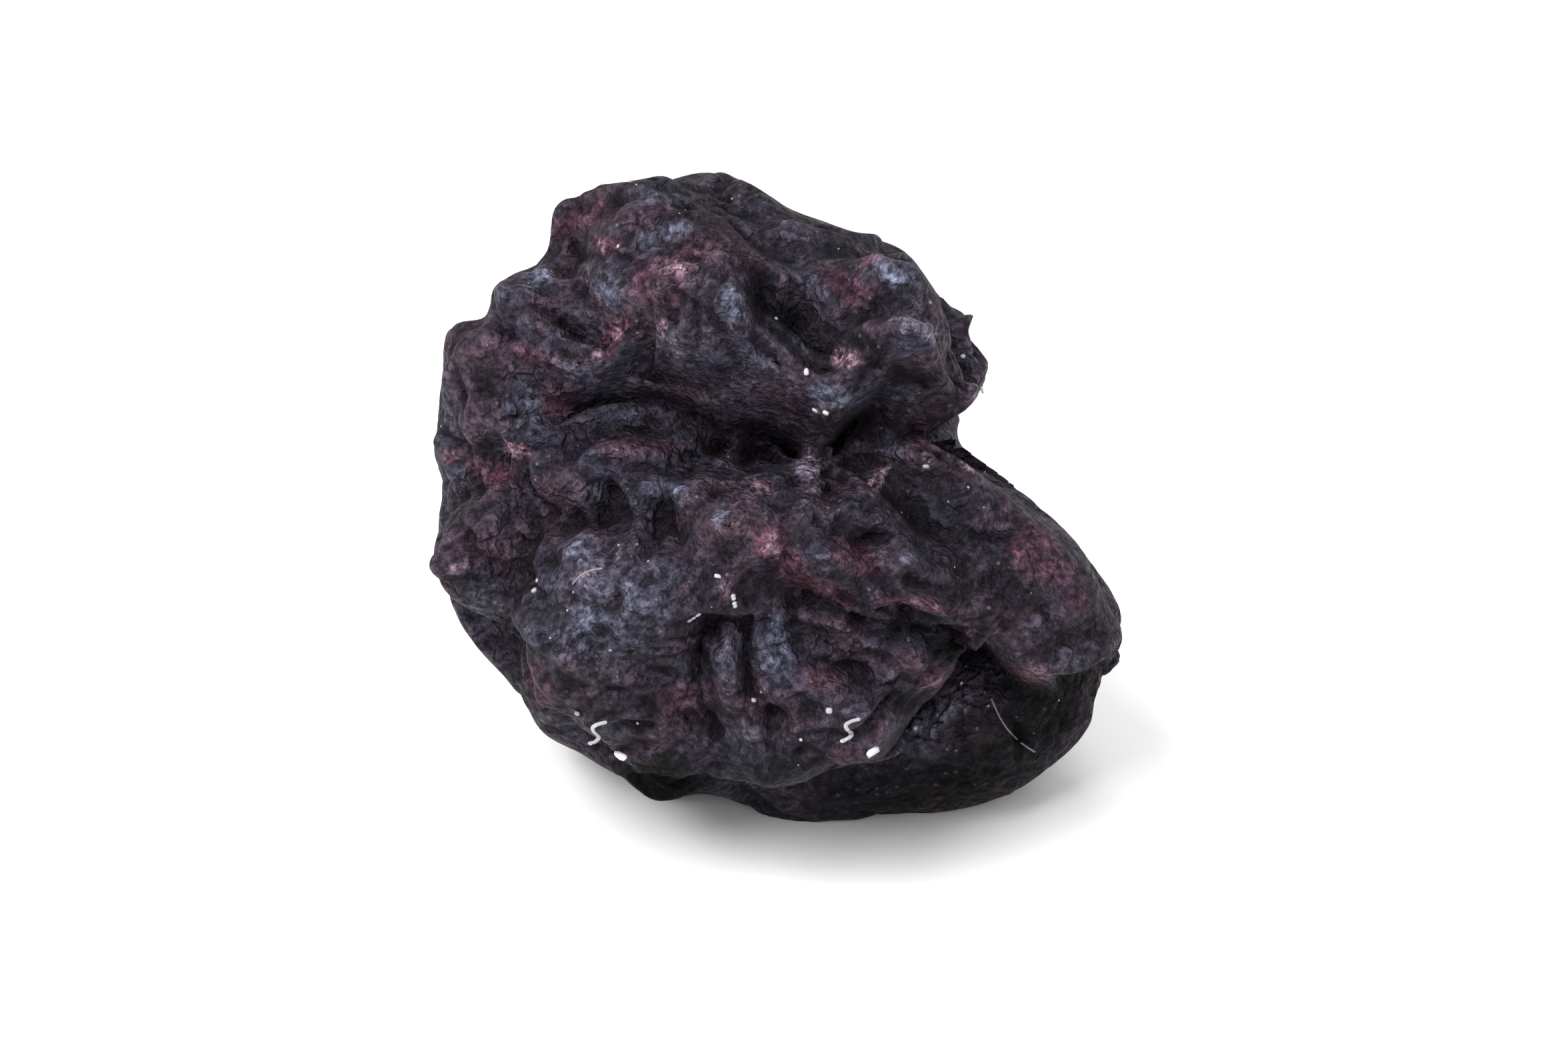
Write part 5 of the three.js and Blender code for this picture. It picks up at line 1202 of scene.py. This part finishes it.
# Every grain as its place's number on the skin, half length, half width, paleness, u and v: the placed ones,
# then those all over, which keep off the underside
def chooseGrains(numbers):
    placed = [(*place, *rest) for place, *rest in sugar]
    for path, count, wide, pale in threads:
        way = softened(np.array([(*place, 0) for place in path]))
        along = np.linspace(0, len(way) - 1, count)
        for u, v in zip(*[np.interp(along, range(len(way)), way[:, i]) for i in range(2)]):
            placed.append((u, v, sugarLook["threadGrain"] * wide, wide, pale))
    grains = [(index, *grain[2:], *grain[:2]) for index, grain in zip(indicesSeen(skinSeen, placed), placed)]
    small, large = sugarLook["sizes"]
    while len(grains) < len(placed) + sugarLook["scattered"]:
        index = int(numbers.draw() * len(skinPoints))
        length = small + (large - small) * numbers.draw() ** 2
        if skinPoints[index, 2] > 0.4 and skinNormals[index, 2] > -0.4:
            width = length * (0.6 + 0.4 * numbers.draw())
            grains.append((index, length, width, 0.5 * numbers.draw(), *skinSeen[index, :2]))
    return grains, len(placed)


# How far each grain slides over the skin, from its nearest point to its exact place as the eye sees it
def slidesTo(index, u, v):
    slide = upright(np.stack([u, v, skinSeen[index, 2]], 1) - skinSeen[index])
    toEye, normal = upright(np.array([(0, 0, 1.0)])), skinNormals[index]
    return slide - toEye * ((slide * normal).sum(1) / np.maximum(0.3, (toEye * normal).sum(1)))[:, None]


# Each grain is a rounded box with uneven corners, sunk a little into the skin. Placed ones lie along X, the
# others are turned at random.
def makeSugar():
    numbers = SeededNumbers(sugarLook["seed"])
    grains, placed = chooseGrains(numbers)
    index, length, width, pale, u, v = [np.array(column) for column in zip(*grains)]
    ways, quads = cubeBall(2)
    box = 0.75 * ways + 0.25 * ways / np.abs(ways).max(1)[:, None]
    uneven = np.array([numbers.draw() for _ in range(len(index) * box.size)]).reshape(len(index), *box.shape)
    shapes = box * (0.8 + 0.4 * uneven) * np.stack([length, width, 0.7 * width], 1)[:, None]
    normal = skinNormals[index]
    roll = np.array([numbers.draw() - 0.5 for _ in range(3 * len(index))]).reshape(-1, 3)
    roll[:placed] = np.cross((1, 0, 0), normal[:placed]) + 0.3 * roll[:placed]
    across = np.cross(normal, roll)
    across /= lengthOf(across)[:, None]
    axes = np.stack([across, np.cross(normal, across), normal], 1)
    middles = skinPoints[index] + slidesTo(index, u, v) + normal * (sugarLook["sunk"] * width)[:, None]
    points = np.einsum("gpa,gax->gpx", shapes, axes) + middles[:, None]
    faces = (quads + len(ways) * np.arange(len(index))[:, None, None]).reshape(-1, 4)
    return makeMesh("sugarGrains", points.reshape(-1, 3), faces, {"pale": np.repeat(pale, len(ways))})


def makeSugarMaterial():
    paint, tree, sockets = newPaint("driedSugar")
    _, grain = addGrain(tree, sugarLook)
    share = straight(tree, markOf(tree, "pale"), straight(tree, grain["Mottle"], 0.4, 0.7))
    feed(tree, sockets["Base Color"], mixColour(tree, share, sugarLook["dull"], sugarLook["bright"]))
    feed(tree, sockets["Roughness"], sugarLook["roughness"])
    return paint


grains = makeSugar()
grains.data.materials.append(makeSugarMaterial())
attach(grains, "root")
print("sugar is made:", len(grains.data.polygons), "faces")


# The floor

floorLook = {"size": 1.2, "colour": (0.82, 0.82, 0.82), "roughness": 0.9}


def makeFloor():
    half = floorLook["size"] / 2
    mesh = bpy.data.meshes.new("floor")
    corners = [(-half, -half, 0), (half, -half, 0), (half, half, 0), (-half, half, 0)]
    mesh.from_pydata(corners, [], [(0, 1, 2, 3)])
    paint, tree, sockets = newPaint("floorPaint")
    feed(tree, sockets["Base Color"], (*floorLook["colour"], 1))
    feed(tree, sockets["Roughness"], floorLook["roughness"])
    mesh.materials.append(paint)
    addObject("floor", mesh)


makeFloor()
